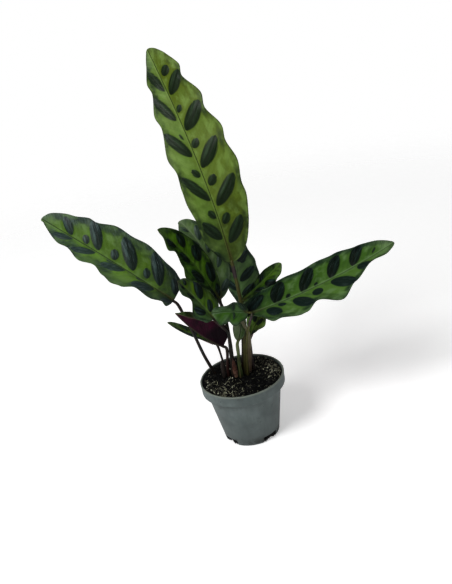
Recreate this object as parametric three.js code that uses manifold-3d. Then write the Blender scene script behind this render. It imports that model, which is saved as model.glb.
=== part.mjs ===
// Rattlesnake plant (Goeppertia lancifolia) in a small nursery pot.
// Millimetres, +Z up, origin at the centre of the pot's flat underside, -Y is the front.
import * as THREE from 'three';
import { mergeVertices } from 'three/addons/utils/BufferGeometryUtils.js';
import Module from 'manifold-3d';

// ---- Driving dimensions -------------------------------------------------------------------

const CLEARANCE = 0.3; // between pieces that touch

const POT = {
  height: 51,
  footRadius: 21.6,
  shoulderRadius: 28.9, // top of the tapered body, just under the rim band
  bandHeight: 8.8,
  bandRadius: 32.2,
  rimRadius: 32.5,
  wall: 1.4,
  floor: 1.8,
  footBevel: 0.6,
  lip: 0.5,
  sides: 48,
};

const SLOT = {
  count: 4,
  firstAngle: -54, // degrees from +X
  width: 13,
  height: 5,
  reach: 4.5, // how far the slot runs in under the floor
};

const SOIL = {
  edgeHeight: 49.4, // where the soil meets the pot wall
  crownHeight: 52, // soft mound under the stems
  sides: 40,
};

const STEM_DEPTH = 7; // buried length of each leaf stalk
const STEM_SIDES = 8;
const STEM_STEP = 9; // length of one straight facet along a stalk

const BLADE = {
  edge: 0.45, // thickness at the margin
  rib: [1.5, 0.6], // thickness over the midrib, base and tip
  baseHalfWidth: 1.1,
  tipHalfWidth: 0.25,
  columns: [-1, -0.55, 0, 0.55, 1],
  step: 6.2, // length of one facet along the midrib
  approach: 2.5, // how far the stalk runs in line with the midrib
};

// Each leaf: base is where the blade starts, length runs along the midrib, heading turns from
// +X towards +Y, rise is the slope above the horizon, roll turns the blade about its midrib and
// fold lifts both halves off flat. Pairs of angles hold the base value and the tip value.
// shape holds the roundness of the base and of the tip, lean shifts width to the left half,
// bays lists, for the right and the left half, where along the midrib the margin swings out (+)
// or in (-) and by how much. ruffle lowers the margin where it swings out and lifts it where it
// swings in, as a share of that swing.
// stalk lists the points between the soil and the blade, radius is the stalk's, soil and top.
const LEAVES = [
  {
    name: 'tall', base: [8.7, 3, 142.5], length: 174, width: 44.5, heading: 122, turn: -16,
    rise: [82, 40], roll: [-21, -48], fold: [7, 14], arch: 0.06, shape: [0.45, 0.63], lean: -0.17,
    ruffle: 0.6, radius: [1.6, 1.3],
    bays: [
      [[3.5, -0.9], [18, -0.8], [29, -0.4], [43.5, 0.4], [52, -0.8], [67, 1.4], [81, -0.9],
      [91.5, 1.4], [106.5, -2.3], [118, 1.2], [134, -2.1], [145, 2], [158, 1.1], [167, 0.5]],
      [[3.5, -0.5], [20, 1.5], [37, -0.6], [50, 0.4], [60, -0.3], [73, -1.8], [86, 1.3], [108.5, -2.5],
      [121, 0.9], [136.5, -2.8], [149, 1.2], [161, -1.3], [170, -1.5]],
    ],
    stalk: [[3, -0.5, 51], [6.2, -2, 76], [8.4, -1, 93], [9.6, 1, 106], [9.5, 2, 119]],
  },
  {
    name: 'left', base: [-38.5, 2, 122], length: 119, width: 40.5, heading: 164, turn: -20,
    rise: [43, 27], roll: [-15, -48], fold: [22, 17], arch: 0.04, shape: [0.3, 0.6], lean: -0.2,
    ruffle: 0.6, radius: [1.3, 1],
    bays: [
      [[2.4, 4], [8, 1.3], [21, -1.4], [39, 1.4], [50.5, -0.2], [65, 2], [78.5, -1.6], [86, 0.4],
      [94.5, -1], [104, 0.2], [115.5, 1]],
      [[2.4, 2.5], [7.5, -0.8], [14.5, 0.3], [28, -2.6], [37, 1.4], [44, 2.4], [52, 0.4], [61.5, -2.8],
      [74, 0.4], [86, -2.2], [96, -0.2], [115, -2.1]],
    ],
    stalk: [[-20, 9, 50], [-25.5, 8, 69], [-30, 8, 90], [-33.8, 7, 106]],
  },
  {
    name: 'right', base: [10.4, -6.7, 103.1], length: 122.5, width: 41, heading: 14, turn: -22,
    rise: [2, 28], roll: [22, 20], fold: [11, 20], arch: 0.05, shape: [0.52, 0.56], lean: -0.05,
    ruffle: 0.6, radius: [1.5, 1.2],
    bays: [
      [[1.5, -1.6], [4.5, -3.6], [9, -2.6], [17, 1.4], [23, 0], [37, 2], [42, 1.6], [53, -3], [71, 5.4],
      [85, -0.5], [102, -4.9], [117, -0.4]],
      [[1.4, 3.6], [4, 5.6], [8, 4.6], [13, 3.2], [20, 3], [28, 2.2], [38, 1.6], [53, -1.8], [67.5, 0.6],
      [76, 0], [83, 1.5], [94.5, -0.9], [101, 0.2], [111, 0.2], [121, -1.8]],
    ],
    stalk: [[6.2, 1.2, 51], [9.2, -1.4, 71], [10.6, -4.6, 87]],
  },
  {
    name: 'front_left', base: [-5.6, -4.5, 118.7], length: 71.5, width: 28.2, heading: 190, turn: 2,
    rise: [73, 53], roll: [-39, -40], fold: [18, 16], arch: 0.05, shape: [0.64, 0.68], lean: 0,
    ruffle: 0.6, radius: [1.2, 1],
    bays: [
      [[4, -0.5], [10, 0.5], [17, -0.3], [27, 0.9], [36, -0.2], [50, -0.1], [58, 0.6], [66, 0.1]],
      [[4, -0.7], [11, -2.4], [25, 0.1], [36, 4.2], [43.5, 0.4], [54, -2.2], [59, 1.3], [66.5, -1.1]],
    ],
    stalk: [[-5.8, 3.6, 50.5], [-4, 2.6, 75], [-3.6, 1.8, 92], [-3.8, 0.4, 106]],
  },
  {
    name: 'mid_left', base: [-4.5, 5, 114.7], length: 68.5, width: 27, heading: 135, turn: 1,
    rise: [98, 34], roll: [-14, -22], fold: [17, 16], arch: 0.05, shape: [0.6, 0.6], lean: 0,
    ruffle: 0.6, radius: [1.1, 0.9],
    bays: [
      [[8, -0.2], [30, 0.3], [45, -0.3], [60, 0.4], [66, 1]],
      [[12, 0.3], [30, -0.3], [45, 0.3], [60, 0], [66, -1]],
    ],
    stalk: [[-6, 8, 50.5], [-4.9, 6.5, 72], [-4, 4.5, 90]],
  },
  {
    name: 'back', base: [10.4, 21.5, 98.3], length: 65.5, width: 28.5, heading: 82, turn: -5,
    rise: [55, 106], roll: [0, -22], fold: [18, 18], arch: 0.05, shape: [0.63, 0.74], lean: -0.24,
    ruffle: 0.6, radius: [1.2, 1],
    bays: [
      [[3, -1.9], [12, 0.5], [21, 1.6], [32, 0.2], [36, 0.5], [46, -0.9], [54, 0.3]],
      [[6, -1], [14, -0.1], [31, -1.1], [45, 0]],
    ],
    stalk: [[1.5, 6, 51], [5.4, 7.5, 73], [7.8, 12, 88]],
  },
  {
    name: 'back_right', base: [11, 14.7, 105.4], length: 41, width: 13.5, heading: 11, turn: -2,
    rise: [27, 37], roll: [38, 44], fold: [16, 14], arch: 0.06, shape: [0.62, 0.58], lean: 0.05,
    ruffle: 0.6, radius: [1.1, 0.9],
    bays: [
      [[3, 0.5], [8, 0], [13, -1.4], [18, -1.6], [23, -0.6], [27, 0.7], [31, 0.8], [35, 1.2]],
      [[8, -2.6], [18, -2.8], [23, -1.4], [29, -0.4]],
    ],
    stalk: [[5.6, 5.5, 51], [8.9, 4, 73], [9.8, 4, 90]],
  },
  {
    name: 'centre', base: [-12, -6.5, 105.2], length: 38.5, width: 28, heading: 153, turn: 9,
    rise: [57, 53], roll: [-19, -3], fold: [12, 20], arch: 0.05, shape: [0.52, 0.6], lean: 0.04,
    ruffle: 0.6, radius: [1.1, 0.9],
    bays: [
      [[2, 1.6], [6, 3], [14.5, 2], [20, 1.4], [26, 0.4], [31, 1.2], [36.5, 2]],
      [[1.5, 1.4], [5, 0.4], [12, 1.8], [22.5, -4], [31.5, 1], [34, 1.5]],
    ],
    stalk: [[-6.2, -0.7, 50.5], [-5.2, -3.4, 73.8], [-4.2, -6, 91], [-6.8, -8.8, 97.6]],
  },
  {
    name: 'low_centre', base: [13.4, -9.5, 106.4], length: 27.5, width: 15.5, heading: 187, turn: -3,
    rise: [24, 2], roll: [-47, -48], fold: [16, 10], arch: 0.06, shape: [0.56, 0.62], lean: 0.05,
    ruffle: 0.6, radius: [1, 0.8],
    bays: [
      [[1, 1.6], [5, 0.6], [10, -0.6], [16.5, -3.9]],
      [[1, 2], [5.5, 1.6], [9, 3.6], [12, 3], [15.4, 0.4], [18.4, 2.4], [22, 4]],
    ],
    stalk: [[4.6, -3.4, 51.2], [7.2, -6, 74], [10.2, -11, 91], [12.6, -12.6, 98.6]],
  },
  {
    name: 'low_left', base: [-9.6, -3.5, 80.6], length: 46, width: 32, heading: 187, turn: 0,
    rise: [40, 61], roll: [60, -12], fold: [33, 72], arch: 0.05, shape: [0.3, 0.86], lean: 0.05,
    ruffle: 0.6, radius: [1.2, 1],
    bays: [
      [[12, -3], [18, -1], [24, 2.5], [30, 5.6], [35, 6], [40, 4.4]],
      [[1, 1.5], [6, 0.4], [11, -1], [16, -2], [20.6, -1.6], [24, -1.6], [28, -4], [36, -3.6], [42.5, -1]],
    ],
    stalk: [[-10.4, 1.2, 50], [-9, -1.2, 64], [-7.4, -2.8, 74.5]],
  },
  {
    name: 'narrow', base: [-16.5, 17, 73.8], length: 40.5, width: 10, heading: 184, turn: -1,
    rise: [36, 43], roll: [-10, -23], fold: [25, 23], arch: 0.05, shape: [0.56, 0.64], lean: 0,
    ruffle: 0.6, radius: [0.9, 0.7],
    bays: [
      [[12, 0.4], [24, -0.4]],
      [[10, -0.3], [22, 0.4]],
    ],
    stalk: [[-12, 10, 50], [-12.8, 13, 62]],
  },
  {
    name: 'young', base: [2.4, -4.6, 82.4], length: 20, width: 10.4, heading: 10, turn: 0,
    rise: [66, 80], roll: [92, 92], fold: [10, 8], arch: 0.05, shape: [0.6, 0.5], lean: 0.2,
    ruffle: 0.6, radius: [1.7, 1],
    bays: [
      [[6, 0.2], [13, -0.2]],
      [[6, -0.2], [13, 0.2]],
    ],
    stalk: [[-0.6, -3.6, 51], [-0.2, -4, 63], [0.6, -4.4, 73]],
  },
  {
    name: 'low_right', base: [11.9, 2.8, 80.6], length: 36, width: 21, heading: 18, turn: 0,
    rise: [58, 30], roll: [4, 12], fold: [13, 13], arch: 0.05, shape: [0.62, 0.65], lean: -0.05,
    ruffle: 0.6, radius: [1.1, 0.9],
    bays: [
      [[2, -1.9], [7, -1], [13.5, 1.3], [20, -1.5], [28, 0.5]],
      [[3, 2.2], [7, 7.6], [11, 7.6], [16, 3], [25, -0.5]],
    ],
    stalk: [[8.9, 5.1, 50.8], [10.6, 3.6, 68]],
  },
];

// Dry sheaths, the bracts that once wrapped the young stalks, standing at the crown.
const SHEATH = {
  turn: 0, rise: [86, 88], roll: [0, 0], fold: [-28, -20], arch: 0, shape: [0.3, 0.8], lean: 0,
  ruffle: 0, bays: [[], []],
};
const SHEATH_THICKNESS = {
  edge: 0.35,
  rib: [0.6, 0.35],
};
const SHEATHS = [
  { name: 'front', base: [-4.4, -5.6, 52.4], length: 17, width: 3.8, heading: 90 },
  { name: 'left', base: [-13.8, -2, 52.1], length: 15, width: 3, heading: 70 },
  { name: 'right', base: [11, 1.6, 52.3], length: 13, width: 3, heading: 150 },
].map((sheath) => ({ ...SHEATH, ...sheath }));

const COLORS = {
  pot: 0x8f9390,
  soil: 0x1c1815,
  blade: 0x5f7d33,
  youngBlade: 0x8fa27a,
  stalk: 0x5b5a33,
  sheath: 0x6b3a2a,
};

// ---- Small helpers ------------------------------------------------------------------------

const wasm = await Module();
wasm.setup();

const radians = THREE.MathUtils.degToRad;
const mix = THREE.MathUtils.lerp;

function material(color, roughness) {
  return new THREE.MeshStandardMaterial({ color, roughness, metalness: 0 });
}

function mesh(name, geometry, surface) {
  const result = new THREE.Mesh(geometry, surface);
  result.name = name;
  return result;
}

function toManifold(geometry) {
  const bare = geometry.clone();
  bare.deleteAttribute('normal');
  bare.deleteAttribute('uv');
  const welded = mergeVertices(bare, 1e-4);
  return new wasm.Manifold(new wasm.Mesh({
    numProp: 3,
    vertProperties: Float32Array.from(welded.attributes.position.array),
    triVerts: Uint32Array.from(welded.index.array),
  }));
}

function fromManifold(solid) {
  const { vertProperties, triVerts } = solid.getMesh();
  const geometry = new THREE.BufferGeometry();
  geometry.setAttribute('position', new THREE.BufferAttribute(Float32Array.from(vertProperties), 3));
  geometry.setIndex(Array.from(triVerts));
  geometry.computeVertexNormals();
  return geometry;
}

// A closed solid through a row of rings with the same number of points, flat at both ends.
// The rings run anticlockwise seen from the last one.
function loft(rings) {
  const sides = rings[0].length;
  const positions = rings.flat().flatMap((point) => point.toArray());
  const index = [];
  for (let ring = 0; ring < rings.length - 1; ring += 1) {
    for (let side = 0; side < sides; side += 1) {
      const next = (side + 1) % sides;
      const a = ring * sides + side;
      const b = ring * sides + next;
      index.push(a, b, b + sides, a, b + sides, a + sides);
    }
  }
  const last = (rings.length - 1) * sides;
  for (let side = 1; side < sides - 1; side += 1) {
    index.push(0, side + 1, side);
    index.push(last, last + side, last + side + 1);
  }
  const geometry = new THREE.BufferGeometry();
  geometry.setAttribute('position', new THREE.Float32BufferAttribute(positions, 3));
  geometry.setIndex(index);
  geometry.computeVertexNormals();
  return geometry;
}

// ---- Leaf blades --------------------------------------------------------------------------

// Half width of a blade at s, 0 at the base and 1 at the tip. side is +1 left, -1 right.
function halfWidth(leaf, s, side) {
  const [baseRound, tipRound] = leaf.shape;
  const widest = baseRound / (baseRound + tipRound);
  const peak = widest ** baseRound * (1 - widest) ** tipRound;
  const outline = (s ** baseRound * (1 - s) ** tipRound) / peak;
  return (leaf.width / 2) * (1 + side * leaf.lean) * outline;
}

// How far the margin swings out from the plain outline at s, smoothly from bay to bay.
function swing(leaf, s, side) {
  const bays = side > 0 ? leaf.bays[1] : leaf.bays[0];
  const marks = [[0, 0], ...bays, [leaf.length, 0]];
  const at = s * leaf.length;
  const next = Math.max(1, marks.findIndex(([station]) => station >= at));
  const [from, low] = marks[next - 1];
  const [to, high] = marks[next];
  return mix(low, high, THREE.MathUtils.smoothstep(at, from, to));
}

// The blade's own directions at s: along the midrib, to the left and up off the face.
function directions(leaf, s) {
  const heading = radians(leaf.heading + leaf.turn * s);
  const rise = radians(mix(leaf.rise[0], leaf.rise[1], s));
  const roll = radians(mix(leaf.roll[0], leaf.roll[1], s));
  const along = new THREE.Vector3(
    Math.cos(rise) * Math.cos(heading),
    Math.cos(rise) * Math.sin(heading),
    Math.sin(rise),
  );
  const level = new THREE.Vector3(-Math.sin(heading), Math.cos(heading), 0);
  const left = level.clone().applyAxisAngle(along, roll);
  const up = along.clone().cross(left);
  return { along, left, up };
}

// Midrib stations from base to tip.
function midrib(leaf, step) {
  const count = Math.ceil(leaf.length / step);
  const here = new THREE.Vector3(...leaf.base);
  const stations = [];
  for (let i = 0; i <= count; i += 1) {
    const s = i / count;
    stations.push({ s, point: here.clone(), ...directions(leaf, s) });
    const ahead = directions(leaf, (i + 0.5) / count).along;
    here.addScaledVector(ahead, leaf.length / count);
  }
  return stations;
}

// A point on the upper face: across runs from -1 at the right margin to +1 at the left.
function facePoint(leaf, station, across) {
  const side = across < 0 ? -1 : 1;
  const reach = Math.abs(across);
  const least = mix(BLADE.baseHalfWidth, BLADE.tipHalfWidth, station.s);
  const bay = swing(leaf, station.s, side);
  const half = Math.max(halfWidth(leaf, station.s, side) + bay, least);
  const fold = radians(mix(leaf.fold[0], leaf.fold[1], station.s));
  const ruffle = leaf.ruffle * bay * reach ** 3;
  const out = half * reach * Math.cos(fold);
  const lift = half * (reach * Math.sin(fold) - leaf.arch * reach ** 2) - ruffle;
  return station.point.clone()
    .addScaledVector(station.left, side * out)
    .addScaledVector(station.up, lift);
}

function bladeGeometry(leaf, thickness) {
  const rings = midrib(leaf, BLADE.step).map((station) => {
    const rib = mix(thickness.rib[0], thickness.rib[1], station.s);
    const face = BLADE.columns.map((across) => facePoint(leaf, station, across));
    const under = BLADE.columns.map((across, column) => {
      const depth = across === 0 ? rib : thickness.edge;
      return face[column].clone().addScaledVector(station.up, -depth);
    });
    return [...under, ...face.reverse()];
  });
  return loft(rings);
}

// ---- Leaf stalks --------------------------------------------------------------------------

// A stalk's centre line, from its buried end up to the blade's base.
function stalkStations(leaf) {
  const [first] = midrib(leaf, BLADE.step);
  const end = new THREE.Vector3(...leaf.base)
    .addScaledVector(first.along, -CLEARANCE)
    .addScaledVector(first.up, -BLADE.rib[0] / 2);
  const approach = end.clone().addScaledVector(first.along, -BLADE.approach);
  const shown = leaf.stalk.map((point) => new THREE.Vector3(...point));
  const dip = shown[0].clone().sub(shown[1]).setLength(STEM_DEPTH);
  const buried = shown[0].clone().add(dip);
  const curve = new THREE.CatmullRomCurve3([buried, ...shown, approach, end], false, 'centripetal');
  const count = Math.ceil(curve.getLength() / STEM_STEP);
  const frames = curve.computeFrenetFrames(count, false);
  return curve.getSpacedPoints(count).map((point, i) => ({
    point,
    along: frames.tangents[i],
    normal: frames.normals[i],
    binormal: frames.binormals[i],
    radius: mix(leaf.radius[0], leaf.radius[1], i / count),
  }));
}

function roundRing(station, extra) {
  return Array.from({ length: STEM_SIDES }, (_, side) => {
    const angle = (side / STEM_SIDES) * 2 * Math.PI;
    const radius = station.radius + extra;
    return station.point.clone()
      .addScaledVector(station.normal, Math.cos(angle) * radius)
      .addScaledVector(station.binormal, Math.sin(angle) * radius);
  });
}

function stalkGeometry(leaf) {
  return loft(stalkStations(leaf).map((station) => roundRing(station, 0)));
}

// The hole that a stalk leaves in the soil: its buried stretch, a little wider and deeper.
function socketGeometry(leaf) {
  const reach = stalkStations(leaf).slice(0, 3);
  reach[0].point = reach[0].point.clone().addScaledVector(reach[0].along, -CLEARANCE);
  return loft(reach.map((station) => roundRing(station, 1.1 * CLEARANCE)));
}

// ---- Pot and soil -------------------------------------------------------------------------

const bodyTop = POT.height - POT.bandHeight;

// Inner radius of the pot at a height, up to the shoulder.
function innerRadius(z) {
  const slope = (POT.shoulderRadius - POT.footRadius) / bodyTop;
  return POT.footRadius + slope * z - POT.wall;
}

function potGeometry() {
  const profile = [
    [0, 0],
    [POT.footRadius - POT.footBevel, 0],
    [POT.footRadius, POT.footBevel],
    [POT.shoulderRadius, bodyTop],
    [POT.bandRadius - POT.lip, bodyTop],
    [POT.bandRadius, bodyTop + POT.lip],
    [POT.rimRadius, POT.height - POT.lip],
    [POT.rimRadius - POT.lip, POT.height],
    [POT.rimRadius - POT.wall + POT.lip / 2, POT.height],
    [POT.rimRadius - POT.wall, POT.height - POT.lip],
    [POT.bandRadius - POT.wall, bodyTop + POT.wall],
    [innerRadius(bodyTop), bodyTop + POT.wall],
    [innerRadius(POT.floor), POT.floor],
    [0, POT.floor],
  ];
  const points = profile.map(([radius, z]) => new THREE.Vector2(radius, z));
  const shell = new THREE.LatheGeometry(points, POT.sides);
  shell.rotateX(Math.PI / 2);
  let solid = toManifold(shell);
  for (let i = 0; i < SLOT.count; i += 1) {
    solid = solid.subtract(toManifold(slotGeometry(SLOT.firstAngle + (360 / SLOT.count) * i)));
  }
  return fromManifold(solid);
}

// A drainage slot through the corner between the floor and the wall.
function slotGeometry(angle) {
  const outside = 3;
  const cutter = new THREE.BoxGeometry(SLOT.reach + outside, SLOT.width, 2 * SLOT.height);
  cutter.translate(POT.footRadius + (outside - SLOT.reach) / 2, 0, 0);
  cutter.rotateZ(radians(angle));
  return cutter;
}

function soilGeometry() {
  const gap = CLEARANCE;
  const shelf = bodyTop + POT.wall + gap;
  const bandInner = POT.bandRadius - POT.wall - gap;
  const mound = SOIL.crownHeight - SOIL.edgeHeight;
  const profile = [
    [0, POT.floor + gap],
    [innerRadius(POT.floor) - gap, POT.floor + gap],
    [innerRadius(bodyTop) - gap, shelf],
    [bandInner, shelf],
    [bandInner, SOIL.edgeHeight],
    [0.75 * bandInner, SOIL.edgeHeight + 0.35 * mound],
    [0.45 * bandInner, SOIL.edgeHeight + 0.85 * mound],
    [0, SOIL.crownHeight],
  ];
  const points = profile.map(([radius, z]) => new THREE.Vector2(radius, z));
  const body = new THREE.LatheGeometry(points, SOIL.sides);
  body.rotateX(Math.PI / 2);
  const filled = toManifold(body);
  return fromManifold(LEAVES.reduce((soil, leaf) => soil.subtract(toManifold(socketGeometry(leaf))), filled));
}

// ---- Assembly -----------------------------------------------------------------------------

const plant = new THREE.Group();
plant.name = 'rattlesnake_plant';

plant.add(mesh('pot', potGeometry(), material(COLORS.pot, 0.7)));
plant.add(mesh('soil', soilGeometry(), material(COLORS.soil, 1)));

for (const leaf of LEAVES) {
  const bladeColor = leaf.name === 'young' ? COLORS.youngBlade : COLORS.blade;
  plant.add(mesh(`leaf_blade_${leaf.name}`, bladeGeometry(leaf, BLADE), material(bladeColor, 0.45)));
  plant.add(mesh(`leaf_stalk_${leaf.name}`, stalkGeometry(leaf), material(COLORS.stalk, 0.6)));
}

for (const sheath of SHEATHS) {
  plant.add(mesh(`sheath_${sheath.name}`, bladeGeometry(sheath, SHEATH_THICKNESS), material(COLORS.sheath, 0.8)));
}

export default plant;
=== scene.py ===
"""Rattlesnake plant in a small nursery pot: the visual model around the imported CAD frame."""

import math
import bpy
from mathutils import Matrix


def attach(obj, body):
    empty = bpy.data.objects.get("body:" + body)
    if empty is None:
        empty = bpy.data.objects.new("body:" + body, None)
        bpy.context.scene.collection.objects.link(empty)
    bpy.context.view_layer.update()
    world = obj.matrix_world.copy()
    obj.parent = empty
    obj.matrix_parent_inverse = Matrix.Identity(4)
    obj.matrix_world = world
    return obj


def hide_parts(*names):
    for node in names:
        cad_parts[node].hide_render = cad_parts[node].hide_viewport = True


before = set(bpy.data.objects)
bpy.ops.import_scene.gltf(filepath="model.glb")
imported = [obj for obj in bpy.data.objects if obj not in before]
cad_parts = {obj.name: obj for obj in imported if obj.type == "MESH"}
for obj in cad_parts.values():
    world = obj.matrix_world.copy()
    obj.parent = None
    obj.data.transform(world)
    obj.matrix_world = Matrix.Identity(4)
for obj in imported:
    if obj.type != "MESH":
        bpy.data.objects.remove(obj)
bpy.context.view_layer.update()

from types import SimpleNamespace

import bpy
import numpy as np
from mathutils import Matrix, Quaternion, Vector, noise

# Lengths are in millimetres, angles in degrees and colours in display values from 0 to 255.
MM = 0.001
TURN = 2 * math.pi
RNG = np.random.default_rng(11)


def add_object(name, data):
    """A new object in the scene."""
    thing = bpy.data.objects.new(name, data)
    bpy.context.scene.collection.objects.link(thing)
    return thing


def new_mesh(name, points, faces):
    mesh = bpy.data.meshes.new(name)
    mesh.from_pydata((np.asarray(points) * MM).tolist(), [], [list(face) for face in faces])
    return mesh


# ---- Camera -------------------------------------------------------------------------------

CAMERA = SimpleNamespace(
    target=(0.3, 0.0, 121.5), distance=557.0, elevation=23.4, roll=-11.1, fov=42.0,
)


def add_camera():
    """A view from the front that looks down on the plant and is tilted by the roll."""
    elevation = math.radians(CAMERA.elevation)
    roll = math.radians(CAMERA.roll)
    ahead = Vector((0, math.cos(elevation), -math.sin(elevation)))
    level = Vector((1, 0, 0))
    right = level * math.cos(roll) + level.cross(ahead) * math.sin(roll)
    data = bpy.data.cameras.new("camera")
    data.lens = data.sensor_width / 2 / math.tan(math.radians(CAMERA.fov) / 2)
    data.clip_start, data.clip_end = 0.01, 50
    camera = add_object("camera", data)
    place = Matrix((right, right.cross(ahead), -ahead)).transposed().to_4x4()
    place.translation = (Vector(CAMERA.target) - ahead * CAMERA.distance) * MM
    camera.matrix_world = place
    bpy.context.scene.camera = camera


# ---- Node graphs --------------------------------------------------------------------------


def srgb(*color):
    """A display colour as a linear one."""
    shares = [value / 255 for value in color]
    return (*(c / 12.92 if c <= 0.04045 else ((c + 0.055) / 1.055) ** 2.4 for c in shares), 1.0)


class Value:
    """What a node gives out. Sums written with values become nodes."""

    def __init__(self, graph, socket):
        self.graph, self.socket = graph, socket

    def math(self, operation, other=0.0):
        return self.graph.add("Math", {0: self, 1: other}, operation=operation)

    def __add__(self, other):
        return self.math("ADD", other)

    def __sub__(self, other):
        return self.math("SUBTRACT", other)

    def __mul__(self, other):
        return self.math("MULTIPLY", other)

    def __abs__(self):
        return self.math("ABSOLUTE")

    def larger(self, other):
        return self.math("MAXIMUM", other)

    def clamped(self):
        """Kept between 0 and 1."""
        self.socket.node.use_clamp = True
        return self

    def ramp(self, low, high, start=0.0, end=1.0):
        """Taken smoothly from low..high to start..end."""
        inputs = {"Value": self, 1: low, 2: high, 3: start, 4: end}
        return self.graph.add("MapRange", inputs, interpolation_type="SMOOTHSTEP")


class Graph:
    """The node tree of a material or a world."""

    def __init__(self, name, library="materials"):
        self.owner = getattr(bpy.data, library).new(name)
        self.owner.use_nodes = True
        self.tree = self.owner.node_tree
        self.tree.nodes.clear()

    def node(self, kind, inputs=(), **settings):
        """A node. A colour of three numbers is a display colour."""
        node = self.tree.nodes.new("ShaderNode" + kind)
        for key, value in settings.items():
            setattr(node, key, value)
        for key, value in dict(inputs).items():
            socket = node.inputs[key]
            if isinstance(value, Value):
                self.tree.links.new(value.socket, socket)
            elif socket.type == "RGBA" and len(value) == 3:
                socket.default_value = srgb(*value)
            else:
                socket.default_value = value
        return node

    def add(self, kind, inputs=(), output=0, **settings):
        """One output of a new node."""
        return Value(self, self.node(kind, inputs, **settings).outputs[output])

    def mix(self, share, a, b):
        return self.add("Mix", {0: share, 6: a, 7: b}, 2, data_type="RGBA")

    def layers(self, color, *coats):
        """A colour with coats laid over it in turn, each given as its share and its colour."""
        for share, coat in coats:
            color = self.mix(share, color, coat)
        return color

    def split(self, vector):
        """The three numbers of a vector."""
        return [Value(self, output) for output in self.node("SeparateXYZ", {0: vector}).outputs]

    def field(self, name):
        """The three numbers of a point attribute."""
        return self.split(self.add("Attribute", {}, "Vector", attribute_name=name))

    def place(self):
        """Object coordinates, in metres."""
        return self.add("TexCoord", {}, "Object")

    def noise(self, vector, scale, detail=3.0, roughness=0.55):
        inputs = {"Vector": vector, "Scale": scale, "Detail": detail, "Roughness": roughness}
        return self.add("TexNoise", inputs, "Fac")

    def weave(self, u, v, level, detail):
        """Noise over two coordinates; patterns at different levels have nothing in common."""
        return self.noise(self.add("CombineXYZ", {0: u, 1: v, 2: level}), 1.0, detail)

    def fibres(self, place, height, scale):
        """Noise drawn out upwards, for fine lines; height is how much of its height is left."""
        upright = self.add("Mapping", {"Vector": place, "Scale": (1, 1, height)})
        return self.noise(upright, scale)

    def cells(self, vector, scale):
        return self.add("TexVoronoi", {"Vector": vector, "Scale": scale}, "Distance")

    def bump(self, height, depth, normal=None):
        """depth is the height of a full step."""
        inputs = {"Height": height, "Distance": depth * MM, "Strength": 1.0}
        if normal:
            inputs["Normal"] = normal
        return self.add("Bump", inputs)

    def finish(self, color, roughness, normal, shine=0.5):
        inputs = {"Base Color": color, "Roughness": roughness, "Normal": normal}
        inputs["Specular IOR Level"] = shine
        self.node("OutputMaterial", {"Surface": self.add("BsdfPrincipled", inputs)})
        return self.owner


# ---- Meshes -------------------------------------------------------------------------------


def smooth(mesh, sharp=None):
    """Smooth shading, broken at edges that turn by more than sharp degrees."""
    mesh.polygons.foreach_set("use_smooth", np.ones(len(mesh.polygons), bool))
    if sharp:
        mesh.set_sharp_from_angle(angle=math.radians(sharp))


def make_piece(name, points, faces, materials, kinds=None, fields=(), sharp=None):
    """A riding mesh. kinds say which material a face has, and fields are point attributes of
    three numbers each."""
    mesh = new_mesh(name, points, faces)
    for material in materials:
        mesh.materials.append(material)
    if kinds is not None:
        mesh.polygons.foreach_set("material_index", np.asarray(kinds, np.int32))
    for key, values in dict(fields).items():
        attribute = mesh.attributes.new(key, "FLOAT_VECTOR", "POINT")
        attribute.data.foreach_set("vector", np.asarray(values, np.float32).ravel())
    smooth(mesh, sharp)
    mesh.update()
    piece = add_object(name, mesh)
    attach(piece, "root")
    return piece


def around(sides):
    """Angles once round a circle."""
    return np.linspace(0, TURN, sides, endpoint=False)


def ring_faces(rings, sides):
    """Quads between neighbouring rings of a tube laid out ring by ring."""
    faces = []
    for low in range(0, (rings - 1) * sides, sides):
        high = low + sides
        for side in range(sides):
            following = (side + 1) % sides
            faces.append((low + side, low + following, high + following, high + side))
    return faces


def tube_faces(rings, sides, start=0):
    """A tube's quads and its two ends, for points that follow start others."""
    ends = [tuple(range(sides))[::-1], tuple(range((rings - 1) * sides, rings * sides))]
    return [tuple(start + i for i in face) for face in ring_faces(rings, sides) + ends]


def tube_points(line, hint, wide, high):
    """Rings along a line, without twist. wide and high are how far their points lie from it, in
    the direction that is nearest to the hint at first and at right angles to that."""
    tangents = np.gradient(line, axis=0)
    tangents /= np.linalg.norm(tangents, axis=1)[:, None]
    across = np.asarray(hint, float)
    rings = []
    for point, tangent, out, up in zip(line, tangents, wide, high):
        across = across - tangent * (across @ tangent)
        across = across / np.linalg.norm(across)
        rings.append(point + np.outer(out, across) + np.outer(up, np.cross(tangent, across)))
    return np.array(rings)


def lerp(pair, share):
    return pair[0] + (pair[1] - pair[0]) * share


# ---- Leaves -------------------------------------------------------------------------------


class Leaf(SimpleNamespace):
    """A leaf's measures. Pairs are for the base and the tip.

    base to stalk are the CAD model's own values, apart from a few bays that reach further here. A
    bay says where along the midrib the margin swings out or in, and by how much. blotches and dots
    are the dark markings: mm along the midrib and mm across (less than 0 on the right half) where
    one starts, the same where it ends, and its width. edge and rib are the blade's thickness at
    the margin and over the midrib. pleat and groove are the relief along the side veins and the
    midrib. A leaf that gives none of its own has the values below.
    """

    arch, lean, ruffle, dots = 0.05, 0, 0.6, ()
    edge, rib, pleat, groove = 0.4, (1.5, 0.6), 0.05, 0.45


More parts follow.
